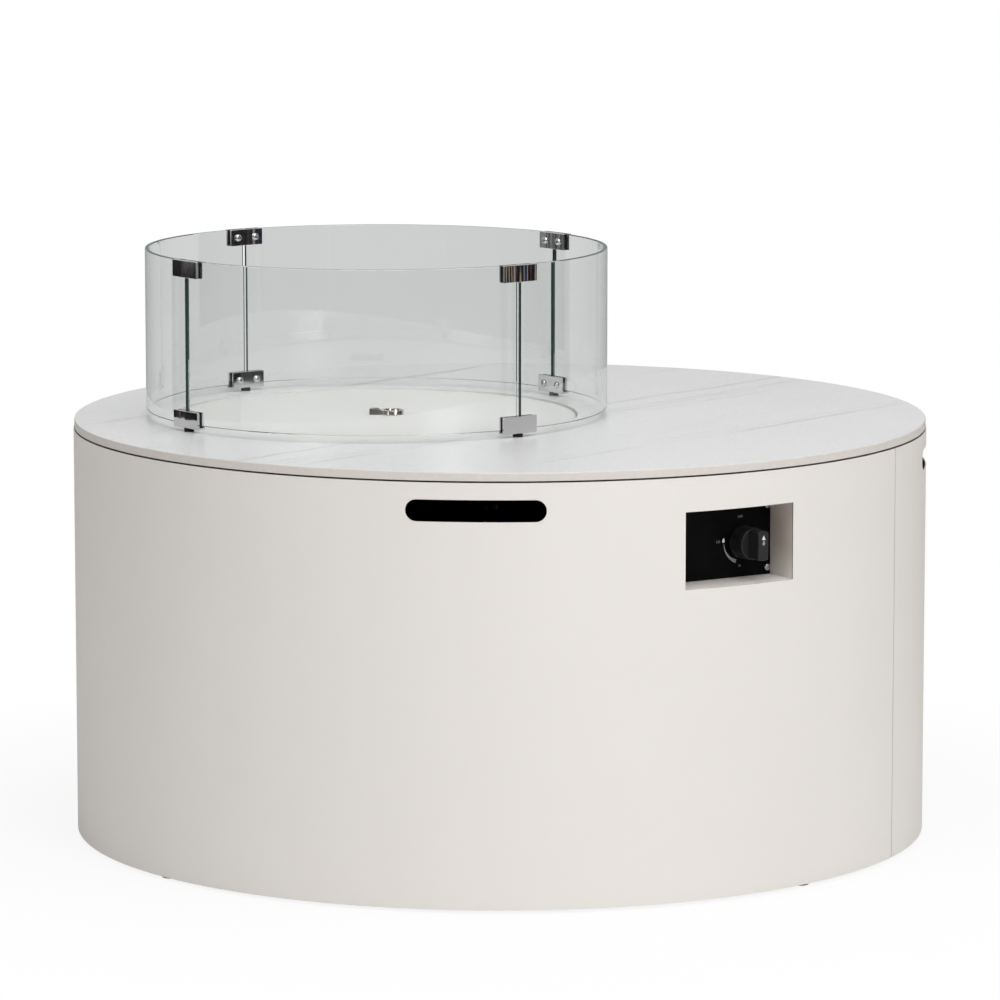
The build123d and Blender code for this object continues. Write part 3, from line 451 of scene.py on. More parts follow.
def pull_polish(name, colour, roughness, haze):
    finish, tree, shader, coords = new_finish(name, colour, roughness, metallic=1.0)
    cloud, tone = clouded(tree, coords, colour, scale=60.0, dark=0.88)
    paint(tree, shader, tone, gloss(tree, cloud, POLISH, roughness, smoother=0, rougher=haze))
    lean = maths(tree, "MULTIPLY", axis_of(tree, coords, "Z"), -PULL_LEAN)
    wave = upright_waves(tree, coords, squeeze=(150, 150, 10), height=PULL_WAVE)
    raise_bump(tree, shader, maths(tree, "ADD", lean, wave))
    return finish


def wiped_metal(name, colour, roughness, haze):
    finish, tree, shader, coords = new_finish(name, colour, roughness, metallic=1.0)
    tone = clouded(tree, coords, colour)[1]
    wipe = noise(tree, stretched(tree, coords, (40, 40, 260)), detail=3.0)
    paint(tree, shader, tone, gloss(tree, wipe, POLISH, roughness, smoother=0, rougher=haze))
    raise_bump(tree, shader, wipe, strength=0.02, distance=GRAIN_DEPTH)
    return finish


pull_chrome = pull_polish("pull_polished_steel", PULL_COLOUR, roughness=0.06, haze=0.05)
copper = wiped_metal("capillary_copper", COPPER_COLOUR, roughness=0.3, haze=0.05)
print("polished:", [m.name for m in (chrome, pull_chrome, copper)])

# %% [markdown]
# ## Brushed and turned metal
# Sheet is brushed in lines, so its noise is squeezed hard across one axis. Brass shows fine rings from
# the lathe, and cast alloy has an even grain: both are the same noise with another squeeze. A round
# pan is brushed in rings about its own axis, so there the noise reads the distance from that axis.

# %% Brushed and turned metal
STEEL_COLOUR = (0.56, 0.55, 0.53)
BRASS_COLOUR = (0.66, 0.48, 0.20)
ALLOY_COLOUR = (0.62, 0.62, 0.63)
RING_SCALE = 2600.0


def brush_marks(tree, shader, coords, lines, colour, roughness, tones, cloud_scale, depth):
    """Lines that show in the colour, the gloss and the relief, under a slow cloud."""
    dark, bright = (shade(colour, tone) for tone in tones)
    cloud = noise(tree, coords, cloud_scale, detail=3.0)
    tone = speckled(tree, lines, GRAIN, dark, bright)
    tone = speckled(tree, cloud, GRAIN, tone, shade(colour, 0.9), most=0.4)
    paint(tree, shader, tone, gloss(tree, lines, GRAIN, roughness, smoother=depth, rougher=0.1))
    raise_bump(tree, shader, lines, strength=depth, distance=GRAIN_DEPTH)


def brushed_metal(name, colour, roughness, squeeze):
    finish, tree, shader, coords = new_finish(name, colour, roughness, metallic=1.0)
    lines = noise(tree, stretched(tree, coords, squeeze), detail=4.0, rough=0.65)
    brush_marks(tree, shader, coords, lines, colour, roughness,
                tones=(0.86, 1.06), cloud_scale=12.0, depth=0.08)
    return finish


def ringed_metal(name, colour, roughness, place):
    """Brushed in circles about an upright axis."""
    finish, tree, shader, coords = new_finish(name, colour, roughness, metallic=1.0)
    radius = from_axis(tree, coords, place)
    height = axis_of(tree, coords, "Z")
    spot = add(tree, "ShaderNodeCombineXYZ", {0: radius, 1: height}).outputs[0]
    rings = noise(tree, spot, RING_SCALE, detail=3.0, rough=0.6)
    brush_marks(tree, shader, coords, rings, colour, roughness,
                tones=(0.88, 1.05), cloud_scale=14.0, depth=0.06)
    return finish


pan_steel = ringed_metal("pan_ringed_steel", STEEL_COLOUR, roughness=0.32, place=burner_axis)
sheet_steel = brushed_metal("brushed_sheet_steel", STEEL_COLOUR, roughness=0.36, squeeze=(900, 900, 12))
brass = brushed_metal("turned_brass", BRASS_COLOUR, roughness=0.28, squeeze=(60, 60, 1500))
alloy = brushed_metal("cast_alloy", ALLOY_COLOUR, roughness=0.5, squeeze=(320, 320, 320))
print("brushed:", [m.name for m in (pan_steel, sheet_steel, brass, alloy)])

# %% [markdown]
# ## Rubber, plastic and ceramic
# Black things are never just black. Moulded plastic has a fine spark-eroded grain that breaks up its
# highlights, rubber is duller with dust in its pores, and the electrode's insulator is a glazed white
# body with a bare wire. The feet and the electrode are one CAD node each, so a height in the material
# says where one stuff ends and the other begins.

# %% Rubber, plastic and ceramic
DUST_COLOUR = (0.16, 0.16, 0.155)
DUST_ENDS = (0.4, 0.75)


def moulded(name, colour, roughness, grain_scale, grain, dust, shine=0.5):
    finish, tree, shader, coords = new_finish(name, colour, roughness, shine=shine)
    skin = noise(tree, coords, grain_scale, rough=0.6)
    cloud = noise(tree, coords, scale=25.0, detail=4.0)
    tone = speckled(tree, cloud, DUST_ENDS, colour, DUST_COLOUR, most=dust)
    paint(tree, shader, tone, gloss(tree, skin, GRAIN, roughness, smoother=0.06, rougher=0.08))
    raise_bump(tree, shader, skin, strength=grain, distance=GRAIN_DEPTH)
    return finish


rubber = moulded("black_rubber", (0.010, 0.010, 0.010), roughness=0.62, grain_scale=1600.0,
                 grain=0.08, dust=0.06, shine=0.2)
knob_black = moulded("knob_moulded_black", (0.012, 0.012, 0.013), roughness=0.36, grain_scale=2600.0,
                     grain=0.06, dust=0.04, shine=0.4)
panel_black = moulded("panel_printed_black", (0.003, 0.003, 0.0035), roughness=0.45, grain_scale=3200.0,
                      grain=0.03, dust=0.01, shine=0.04)
lead_skin = moulded("lead_silicone", (0.020, 0.020, 0.022), roughness=0.42, grain_scale=900.0,
                    grain=0.03, dust=0.05)
print("moulded:", [m.name for m in (rubber, knob_black, panel_black, lead_skin)])

# %% Pieces of two stuffs
PAD_COLOUR = (0.014, 0.014, 0.014)
ZINC_COLOUR = (0.60, 0.60, 0.61)
CERAMIC_COLOUR = (0.80, 0.78, 0.73)
WIRE_COLOUR = (0.35, 0.33, 0.31)
PAD_CLEARANCE = 0.1 * mm
CERAMIC_LENGTH = 10.05 * mm
stud_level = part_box("base_ring")[0].z + PAD_CLEARANCE
wire_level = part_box("igniter_bracket")[1].z + CERAMIC_LENGTH


def two_part(name, lower, upper, level, roughness):
    """One stuff below a height and metal above it, such as a rubber pad under a steel stud."""
    finish, tree, shader, coords = new_finish(name, lower, roughness)
    above = maths(tree, "GREATER_THAN", axis_of(tree, coords, "Z"), level)
    skin = noise(tree, coords, scale=700.0)
    low = speckled(tree, skin, GRAIN, shade(lower, 0.92), lower)
    high = speckled(tree, skin, GRAIN, shade(upper, 0.85), upper)
    polish = gloss(tree, skin, GRAIN, roughness, smoother=0, rougher=0.1)
    paint(tree, shader, mixed(tree, above, low, high), polish)
    tree.links.new(above, shader.inputs["Metallic"])
    raise_bump(tree, shader, skin, strength=0.05, distance=GRAIN_DEPTH)
    return finish


foot_finish = two_part("foot_rubber_and_stud", PAD_COLOUR, ZINC_COLOUR, stud_level, roughness=0.45)
electrode_finish = two_part("electrode_ceramic_and_wire", CERAMIC_COLOUR, WIRE_COLOUR, wire_level,
                            roughness=0.3)
print("studs above", round(stud_level, 4), "m and bare wire above", round(wire_level, 4), "m")

# %% [markdown]
# ## Dress the CAD solids
# Every solid that has the right shape stays as it is and only changes its material. A table from
# finish to pieces is easier to check than a material set here and there: whatever is missing from it
# still wears the plain grey it came with, so the cell ends by counting those.

# %% Dress the solids
def named(*starts):
    return [name for name in cad if name.startswith(starts)]


dress = {
    body_paint: ["front_panel", "rear_panel", "access_door"],
    recess_finish_painted_light: ["control_box"],
    cover_paint: ["burner_cover"],
    frame_paint: ["base_ring", "base_plate", "tank_collar", "frame_posts"],
    deck_painted_light: ["top_deck", "top_ring"],
    stone: ["table_top"],
    glass: named("glass_panel"),
    chrome: named("upper_clip", "lower_clip") + ["clip_screws", "panel_screws"],
    pull_chrome: ["pull_bracket", "pull_pin", "pull_screw", "pull_ring"],
    pan_steel: ["burner_pan", "burner_ring"],
    sheet_steel: ["igniter_bracket", "flame_sensor", "hinge_fixed_leaf", "hinge_door_leaf", "hinge_pin",
                  "catch_strikes"],
    brass: ["burner_locknut", "gas_jet", "pipe_nuts", "valve_nut", "gas_inlet", "valve_plunger",
            "valve_stem"],
    alloy: ["mixer_tube", "supply_pipe", "gas_valve"],
    copper: ["sensor_lead"],
    rubber: ["slab_pads", "clip_liners", "guard_feet"],
    knob_black: ["control_knob", "piezo_igniter", "lead_clips", "catch_magnets"],
    panel_black: ["control_panel"],
    lead_skin: ["ignition_lead"],
    foot_finish: ["levelling_feet"],
    electrode_finish: ["spark_electrode"],
}
for finish, names in dress.items():
    for name in names:
        cad[name].data.materials.clear()
        cad[name].data.materials.append(finish)
dressed = [name for names in dress.values() for name in names]
print("dressed", len(dressed), "left bare", sorted(set(cad) - set(dressed)))

# %% [markdown]
# ## Clear panes let light through
# A path tracer treats a refracting pane as an opaque thing when it looks for lamps, so the guard would
# throw a dark shadow that real glass doesn't. The panes are told not to shade anything.

# %% Glass shadows
for name in dress[glass]:
    cad[name].visible_shadow = False
print("panes without shadow:", len(dress[glass]))

# %% [markdown]
# ## Helpers for new pieces
# New pieces are meshes whose place is in their vertices, and each rides on the body that carries it.
# `settle` does the last steps for every piece: link it, give it its finish, and say what it belongs to.

# %% Piece helpers
def linked(name, data):
    """A new object in the scene, at the origin."""
    made = bpy.data.objects.new(name, data)
    bpy.context.scene.collection.objects.link(made)
    return made


def settle(name, mesh, finish, body, replaced=()):
    """Make a piece of a mesh. A mesh that already has its finish comes with None."""
    piece = linked(name, mesh)
    if finish is not None:
        mesh.materials.clear()
        mesh.materials.append(finish)
    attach(piece, body)
    if replaced:
        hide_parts(*replaced)
    print(name, "has", len(mesh.polygons), "faces and rides on", body)


def mesh_from(bm, name, smooth_angle=None):
    """A mesh with outward faces. Edges sharper than the angle stay sharp."""
    bmesh.ops.recalc_face_normals(bm, faces=bm.faces)
    mesh = bpy.data.meshes.new(name)
    bm.to_mesh(mesh)
    bm.free()
    if smooth_angle is not None:
        mesh.shade_smooth()
        mesh.set_sharp_from_angle(angle=smooth_angle)
    return mesh


def baked(holder):
    """The plain mesh that an object comes to with its modifiers. The object itself is removed."""
    graph = bpy.context.evaluated_depsgraph_get()
    mesh = bpy.data.meshes.new_from_object(holder.evaluated_get(graph))
    holder.modifiers.clear()
    bpy.data.objects.remove(holder)
    return mesh


print("joints that move the bodies:", sorted(joints))

# %% [markdown]
# ## Ground glass edges
# The cut edges of each pane are ground flat. Seen from the face, light has run the whole length of the
# pane before it leaves there, so the edge is a dark bottle green. Tracing that takes far more bounces
# than a render has, and a shader on the whole pane can't tell an edge from a face, so each edge gets a
# skin a twentieth of a millimetre thick with its own finish. The small bevels beside it stay clear.

# %% Curved bars
def turn_of(corner):
    """The angle of a corner about an upright axis, from the front towards +X."""
    return math.atan2(corner.x, -corner.y)


def reach_of(corner):
    """The distance of a corner from an upright axis."""
    return math.hypot(corner.x, corner.y)


def curved_bar(bm, radii, levels, turns, steps, axis=burner_axis):
    """A bar that follows a circle about an upright axis, closed at both ends."""
    (inner, outer), (low, high) = radii, levels
    section = ((inner, low), (outer, low), (outer, high), (inner, high))
    rings = []
    for step in range(steps + 1):
        turn = turns[0] + (turns[1] - turns[0]) * step / steps
        way = Vector((math.sin(turn), -math.cos(turn), 0))
        rings.append([bm.verts.new(axis + way * radius + UP * level) for radius, level in section])
    for near, far in zip(rings, rings[1:]):
        for side in range(4):
            bm.faces.new((near[side], near[side - 1], far[side - 1], far[side]))
    bm.faces.new(rings[0])
    bm.faces.new(rings[-1][::-1])


pane_corners = [v.co - burner_axis for v in cad["glass_panel_1"].data.vertices]
pane_radii = [reach_of(corner) for corner in pane_corners]
pane_turns = [turn_of(corner) for corner in pane_corners]
pane_inner, pane_outer = min(pane_radii), max(pane_radii)
pane_ends = (min(pane_turns), max(pane_turns))
print("pane from", round(pane_inner, 4), "to", round(pane_outer, 4), "m,",
      [round(math.degrees(turn), 2) for turn in pane_ends], "degrees")

# %% Ground edges
SKIN = 0.05 * mm
PANE_BEVEL = 0.7 * mm
RIM_STEPS = 40


def ground_edges():
    bm = bmesh.new()
    radii = (pane_inner + PANE_BEVEL, pane_outer - PANE_BEVEL)
    levels = (glass_low.z + PANE_BEVEL, glass_high.z - PANE_BEVEL)
    thin = SKIN / pane_outer
    bevel = PANE_BEVEL / pane_outer
    for pane in range(4):
        first, last = (end + pane * math.pi / 2 for end in pane_ends)
        curved_bar(bm, radii, levels, (first - thin, first), 1)
        curved_bar(bm, radii, levels, (last, last + thin), 1)
        along = (first + bevel, last - bevel)
        curved_bar(bm, radii, (glass_high.z, glass_high.z + SKIN), along, RIM_STEPS)
        curved_bar(bm, radii, (glass_low.z - SKIN, glass_low.z), along, RIM_STEPS)
    return mesh_from(bm, "pane_edges")


edge_green = moulded("ground_glass_edge", (0.020, 0.085, 0.068), roughness=0.35, grain_scale=900.0,
                     grain=0.04, dust=0.10)
settle("pane_edges", ground_edges(), edge_green, "guard")

# %% [markdown]
# ## Seam strip
# The front and rear sheets meet edge to edge, with a hair's breadth between them. On its own the joint
# would let daylight into the body, so a strip of painted sheet closes it from behind. It is the same
# curved bar as the skins of the glass, drawn about the table's own axis, and its place is read from the
# end of the front sheet.

# %% Seam strip
STRIP_HALF_WIDTH = 14 * mm
STRIP_THICK = 1 * mm
STRIP_CLEARANCE = 0.2 * mm
STRIP_STEPS = 8
sheet_corners = [v.co for v in cad["front_panel"].data.vertices]
sheet_inner = min(reach_of(corner) for corner in sheet_corners)
seam_turn = min(turn_of(corner) for corner in sheet_corners)
print("seam at", round(math.degrees(seam_turn), 2), "degrees")


def seam_strip():
    bm = bmesh.new()
    outer = sheet_inner - STRIP_CLEARANCE
    levels = (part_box("base_ring")[1].z + STRIP_CLEARANCE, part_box("top_ring")[0].z - STRIP_CLEARANCE)
    spread = STRIP_HALF_WIDTH / sheet_inner
    turns = (seam_turn - spread, seam_turn + spread)
    curved_bar(bm, (outer - STRIP_THICK, outer), levels, turns, STRIP_STEPS, Vector())
    return mesh_from(bm, "seam_strip")


settle("seam_strip", seam_strip(), frame_paint, "base")

# %% [markdown]
# ## Printed dial
# The panel round the knob is printed in pale ink: OFF at the top, a low flame at the left, and a crescent
# that swells towards HI at the bottom, which says that the flame grows as the knob turns. Print could
# be a texture, but thin raised shapes stay sharp at any distance. Text is a curve object, so it becomes
# a mesh before it is put in its place.

# %% Words and outlines
PRINT_HEIGHT = 0.06


def word_mesh(text, size):
    """A short word as a thin mesh, centred on its own origin, in millimetres."""
    letters = bpy.data.curves.new(text, "FONT")
    letters.body = text
    letters.size = size
    letters.extrude = PRINT_HEIGHT / 2
    letters.align_x = "CENTER"
    letters.align_y = "CENTER"
    letters.resolution_u = 3
    mesh = baked(linked(text, letters))
    bpy.data.curves.remove(letters)
    return mesh


def thick_outline(points):
    """A flat shape of print thickness from its outline, in millimetres."""
    bm = bmesh.new()
    face = bm.faces.new([bm.verts.new((x, y, -PRINT_HEIGHT / 2)) for x, y in points])
    made = bmesh.ops.extrude_face_region(bm, geom=[face])
    top = [v for v in made["geom"] if isinstance(v, bmesh.types.BMVert)]
    bmesh.ops.translate(bm, verts=top, vec=(0, 0, PRINT_HEIGHT))
    return mesh_from(bm, "printed_shape")


print("print stands", PRINT_HEIGHT, "mm proud")

# %% Crescent and flame
def crescent(radius, start, end, thin, thick, growth=1.3, steps=28):
    """A band between two angles that grows from thin to thick."""
    outer, inner = [], []
    for step in range(steps + 1):
        share = step / steps
        turn = math.radians(start + (end - start) * share)
        half = (thin + (thick - thin) * share ** growth) / 2
        outer.append(((radius + half) * math.cos(turn), (radius + half) * math.sin(turn)))
        inner.append(((radius - half) * math.cos(turn), (radius - half) * math.sin(turn)))
    return outer + inner[::-1]


def flame(size, steps=16):
    """A drop with a leaning tip, the usual sign for a flame."""
    half_width, half_height = 0.36, 0.42
    pinch, lean, tip = 0.55, 0.10, 0.30
    points = []
    for step in range(steps):
        turn = math.radians(-90 + 360 * step / steps)
        lift = max(0.0, math.sin(turn)) ** 2
        points.append((size * (half_width * math.cos(turn) * (1 - pinch * lift) + lean * lift),
                       size * (half_height * math.sin(turn) + tip * lift)))
    return points


print("a flame has", len(flame(size=1.0)), "points")

# %% Dial marks
DIAL_RADIUS = 24.5
DIAL_WORDS = (("OFF", 4.2, -1.0, 29.5), ("LO", 4.0, -32.5, 1.5), ("HI", 4.0, -1.5, -29.5))
INK_SKIN = {"roughness": 0.5, "grain_scale": 2000.0, "grain": 0.02, "dust": 0.05}
ink = moulded("white_print", (0.72, 0.72, 0.71), **INK_SKIN)
faint_ink = moulded("grey_print", (0.30, 0.30, 0.30), **INK_SKIN)


def print_mark(name, mesh, finish, right, up, body="base", out=0.0):
    """Put a mark on the panel, measured from the knob's axis in millimetres, and settle it."""
    spot = knob_centre + (panel_right * right + UP * up + panel_out * (out + PRINT_HEIGHT / 2)) * mm
    turn = Matrix((panel_right, UP, panel_out)).transposed().to_4x4()
    mesh.transform(Matrix.Translation(spot) @ turn @ Matrix.Scale(mm, 4))
    settle(name, mesh, finish, body)


swelling = crescent(DIAL_RADIUS, start=184, end=254, thin=0.5, thick=4.6)
print_mark("dial_crescent", thick_outline(swelling), faint_ink, right=0, up=0)
for text, size, right, up in DIAL_WORDS:
    print_mark("dial_word_" + text.lower(), word_mesh(text, size), faint_ink, right, up)
print_mark("dial_low_flame", thick_outline(flame(size=5.0)), ink, right=-DIAL_RADIUS - 0.5, up=2.0)

# %% [markdown]
# ## Knob pointer
# The grip bar carries a white triangle that says where the knob points, with a small flame under it.
# It turns with the knob, so it rides on the knob's body and not on the panel's.

# %% Knob pointer
TRIANGLE = [(-2.7, -2.6), (2.7, -2.6), (0.0, 3.0)]
knob_corners = [Vector(v.co) - knob_centre for v in cad["control_knob"].data.vertices]
grip_face = max(corner.dot(panel_out) for corner in knob_corners) / mm
on_grip = {"right": 0, "body": "knob", "out": grip_face}
print_mark("knob_pointer", thick_outline(TRIANGLE), ink, up=10.0, **on_grip)
print_mark("knob_flame", thick_outline(flame(size=5.2)), faint_ink, up=3.0, **on_grip)
print("grip face stands", round(grip_face, 2), "mm off the panel")

# %% [markdown]
# ## Fasteners from one node tree
# One kind of screw turns up sixteen times on the clips, and another four times on the panel. Copying
# objects by hand would work, but a Geometry Nodes tree does it from a list of points: each point
# carries the way its screw faces, a random roll keeps the recesses from lining up, and Realize
# Instances turns the result into a plain mesh that can be exported. The points come from the CAD
# screws themselves, always in the same order, so that every run rolls them the same way.

# %% Fastener tree
def new_tree(name, sockets):
    """An empty tree with a geometry input, some named inputs and a geometry output."""
    tree = bpy.data.node_groups.new(name, "GeometryNodeTree")
    tree.interface.new_socket("Geometry", in_out="INPUT", socket_type="NodeSocketGeometry")
    for label, kind in sockets.items():
        tree.interface.new_socket(label, in_out="INPUT", socket_type="NodeSocket" + kind)
    tree.interface.new_socket("Geometry", in_out="OUTPUT", socket_type="NodeSocketGeometry")
    return tree, add(tree, "NodeGroupInput").outputs


def close_tree(tree, geometry, finish):
    """The last nodes of every tree: real geometry, with a material."""
    real = add(tree, "GeometryNodeRealizeInstances", {"Geometry": geometry})
    coated = add(tree, "GeometryNodeSetMaterial", {"Geometry": real.outputs[0], "Material": finish})
    add(tree, "NodeGroupOutput", {0: coated.outputs[0]})


def random_roll(tree, seed):
    """A turn of any size about the screw's own axis."""
    roll = add(tree, "FunctionNodeRandomValue", {"Seed": seed}, data_type="FLOAT")
    roll.inputs[2].default_value = -math.pi
    roll.inputs[3].default_value = math.pi
    spin = add(tree, "ShaderNodeCombineXYZ", {"Z": roll.outputs[1]})
    return add(tree, "FunctionNodeEulerToRotation", {0: spin.outputs[0]}).outputs[0]


def fastener_tree():
    tree, given = new_tree("fasteners", {"Head": "Object", "Roll Seed": "Int", "Finish": "Material"})
    facing = add(tree, "GeometryNodeInputNamedAttribute", {"Name": "facing"}, data_type="FLOAT_VECTOR")
    upright = add(tree, "FunctionNodeAlignRotationToVector", {"Vector": facing.outputs[0]}, axis="Z")
    turned = add(tree, "FunctionNodeRotateRotation",
                 {"Rotation": upright.outputs[0], "Rotate By": random_roll(tree, given["Roll Seed"])},
                 rotation_space="LOCAL")
    head = add(tree, "GeometryNodeObjectInfo", {"Object": given["Head"]})
    placed = add(tree, "GeometryNodeInstanceOnPoints",
                 {"Points": given["Geometry"], "Instance": head.outputs["Geometry"],
                  "Rotation": turned.outputs[0]})
    close_tree(tree, placed.outputs[0], given["Finish"])
    return tree


fasteners = fastener_tree()
print("inputs:", [item.name for item in fasteners.interface.items_tree])

# %% Running a tree
def grow(name, mesh, tree, values):
    """Run a tree on a mesh and keep what it makes as a plain mesh."""
    holder = linked(name, mesh)
    modifier = holder.modifiers.new(name, "NODES")
    modifier.node_group = tree
    inputs = [item for item in tree.interface.items_tree if item.in_out == "INPUT"]
    sockets = {item.name: item.identifier for item in inputs}
    for label, value in values.items():
        modifier[sockets[label]] = value
    return baked(holder)


def facing_points(places):
    """A mesh of loose points, each with the way that its fastener faces."""
    mesh = bpy.data.meshes.new("places")
    mesh.from_pydata([place for place, way in places], [], [])
    facing = mesh.attributes.new("facing", "FLOAT_VECTOR", "POINT")
    for item, (place, way) in zip(facing.data, places):
        item.vector = way
    return mesh


def fasten(name, places, head, seed, finish, body, slot, replaced=()):
    """Put one head at every place and settle them together as one piece."""
    values = {"Head": head, "Roll Seed": seed, "Finish": finish}
    made = grow(name, facing_points(places), fasteners, values)
    settle(name, made, None, body, replaced)


print("helpers:", [helper.__name__ for helper in (grow, facing_points, fasten)])

# %% Solids of a node
def loose_parts(name):
    """The separate solids of a CAD node in a fixed order, each as a list of its corners."""
    bm = bmesh.new()
    bm.from_mesh(cad[name].data)
    bmesh.ops.remove_doubles(bm, verts=bm.verts, dist=1e-6)
    seen, parts = set(), []
    for start in bm.verts:
        open_ends, part = [start], []
        while open_ends:
            corner = open_ends.pop()
            if corner not in seen:
                seen.add(corner)
                part.append(corner.co.copy())
                open_ends.extend(edge.other_vert(corner) for edge in corner.link_edges)
        if part:
            parts.append(part)
    bm.free()
    return parts


grouped = ("clip_screws", "panel_screws", "frame_posts")
print("solids:", {name: len(loose_parts(name)) for name in grouped})

# %% [markdown]
# ## Screw heads
# The clips are closed by button heads with a hexagon socket, and the panel by pan heads with a cross.
# A turned part is a stack of rings, so one helper joins rings into a closed mesh. A ring's radius may
# change with the angle, and that is how a hexagon or a cross sinks into a round head without any
# boolean: the recess is simply the next ring of the stack.

# %% Turned parts
SHARP_EDGE = math.radians(32)


def turned_part(name, rings, segments):
    """Join rings of (height, radius) in millimetres and close both ends."""
    bm = bmesh.new()
    turns = [2 * math.pi * step / segments for step in range(segments)]
    rows = []
    for height, reach in rings:
        radii = [reach(turn) if callable(reach) else reach for turn in turns]
        rows.append([bm.verts.new(Vector((math.cos(turn) * radius, math.sin(turn) * radius, height)) * mm)
                     for turn, radius in zip(turns, radii)])
    for low, high in zip(rows, rows[1:]):
        for step in range(segments):
            bm.faces.new((low[step - 1], low[step], high[step], high[step - 1]))
    bm.faces.new(rows[0][::-1])
    bm.faces.new(rows[-1])
    return linked(name, mesh_from(bm, name, SHARP_EDGE))


def hexagon(apothem):
    return lambda turn: apothem / math.cos((turn + math.pi / 6) % (math.pi / 3) - math.pi / 6)


def cross(arm, width):
    def radius(turn):
        off = abs((turn + math.pi / 4) % (math.pi / 2) - math.pi / 4)
        return min(arm / math.cos(off), width / 2 / max(math.sin(off), 1e-6))
    return radius


def dome(rim, top, low, high, steps=6):
    """Rings of a quarter round from a rim up to a flat top."""
    angles = [math.pi / 2 * step / steps for step in range(steps + 1)]
    return [(low + (high - low) * math.sin(a), top + (rim - top) * math.cos(a)) for a in angles]


print("a hexagon's corner lies", round(hexagon(1.0)(math.pi / 6), 4), "times as far out as its flat")

# %% Screw heads
CLIP_HEAD = 2.8
CLIP_ROLL = 3
PANEL_HEAD = 2.6
PANEL_ROLL = 8


def screw_head(name, shank, rim, top, lip, height, recess, floor, taper, segments):
    """A shank of some radius and length, a domed head and its recess."""
    thin, length = shank
    rings = [(-length, thin), (0, thin), (0, rim)] + dome(rim, top, lip, height)
    rings += [(height, recess), (floor, lambda turn: taper * recess(turn))]
    return turned_part(name, rings, segments)


button_head = screw_head("button_head", shank=(1.75, 2.9), rim=4.5, top=2.3, lip=0.6, height=CLIP_HEAD,
                         recess=hexagon(1.6), floor=0.9, taper=1.0, segments=48)
pan_head = screw_head("pan_head", shank=(1.55, 7.9), rim=4.2, top=2.7, lip=0.7, height=PANEL_HEAD,
                      recess=cross(2.4, 1.0), floor=1.2, taper=0.75, segments=64)
print("heads:", len(button_head.data.polygons), len(pan_head.data.polygons), "faces")

# %% Screws in their places
def middle_of(values):
    return (min(values) + max(values)) / 2


def screw_places(name, way_of, head_height):
    """Where each screw's head stands, and the way that it faces."""
    places = []
    for part in loose_parts(name):
        way = way_of(sum(part, Vector()) / len(part))
        side = UP.cross(way)
        reach = max(corner.dot(way) for corner in part) - head_height * mm
        across = middle_of([corner.dot(side) for corner in part])
        level = middle_of([corner.z for corner in part])
        places.append((way * reach + side * across + UP * level, way))
    return places


def to_guard_axis(spot):
    return Vector((burner_axis.x - spot.x, burner_axis.y - spot.y, 0)).normalized()


def out_of_panel(spot):
    return panel_out


clip_places = screw_places("clip_screws", to_guard_axis, CLIP_HEAD)
fasten("clip_button_heads", clip_places, button_head, CLIP_ROLL, chrome,
       "guard", "clip_chrome", ["clip_screws"])
panel_places = screw_places("panel_screws", out_of_panel, PANEL_HEAD)
fasten("panel_cross_heads", panel_places, pan_head, PANEL_ROLL, chrome,
       "base", "clip_chrome", ["panel_screws"])

# %% [markdown]
# ## Hinge rivets
# The long hinge is riveted to the door and to the rear panel. The rivets show on the inside when the
# door is open. They are the same tree again with a lower head, once for each leaf, because each leaf
# rides on its own body.

# %% Hinge rivets
RIVET_COUNT = 9
RIVET_ROLL = 1
RIVET_SHIFT = 15.5 * mm
RIVET_RINGS = [(0, 3.0), (0.35, 2.95), (0.8, 2.4), (1.1, 1.5), (1.2, 0.6)]
LEAF_FLAT = 20 * mm  # past the knuckle, this far from the pin, the leaf follows the body
hinge_turn = turn_of(Vector(joints["door_swing"]["pos_m"]))
leaf_low, leaf_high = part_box("hinge_door_leaf")
leaf_corners = [v.co for v in cad["hinge_door_leaf"].data.vertices]
leaf_face = min(reach_of(corner) for corner in leaf_corners
                if abs(turn_of(corner) - hinge_turn) * shell_radius > LEAF_FLAT)
rivet_head = turned_part("rivet_head", RIVET_RINGS, segments=20)


def rivet_row(shift):
    """Even places up a leaf, on its inner face."""
    turn = hinge_turn + shift / shell_radius
    way = Vector((-math.sin(turn), math.cos(turn), 0))
    pitch = (leaf_high.z - leaf_low.z) / RIVET_COUNT
    return [(way * -leaf_face + UP * (leaf_low.z + pitch * (number + 0.5)), way)
            for number in range(RIVET_COUNT)]


for shift, body in ((RIVET_SHIFT, "base"), (-RIVET_SHIFT, "door")):
    fasten("hinge_rivets_" + body, rivet_row(shift), rivet_head, RIVET_ROLL, sheet_steel,
           body, "burner_steel")
for head in (button_head, pan_head, rivet_head):
    bpy.data.objects.remove(head)
print("rivets lie", round(leaf_face, 4), "m from the axis")

# %% [markdown]
# ## Weld beads
# The square posts are welded to the floor plate. A bead is a tube along the joint that swells and
# narrows where each drop froze, like a row of coins. The joint's outline goes in as edges, and the tree
# turns it into a curve, varies the curve's radius and sweeps a small circle along it.

# %% Weld beads
BEAD_SWELL = (0.75, 1.15)


def sweep(tree, path, sides, radius, inputs):
    """A round section swept along a curve, shaded smooth."""
    section = add(tree, "GeometryNodeCurvePrimitiveCircle", {"Resolution": sides, "Radius": radius})
    tube = add(tree, "GeometryNodeCurveToMesh",
               {"Curve": path, "Profile Curve": section.outputs[0], **inputs})
    return add(tree, "GeometryNodeSetShadeSmooth", {0: tube.outputs[0]}).outputs[0]


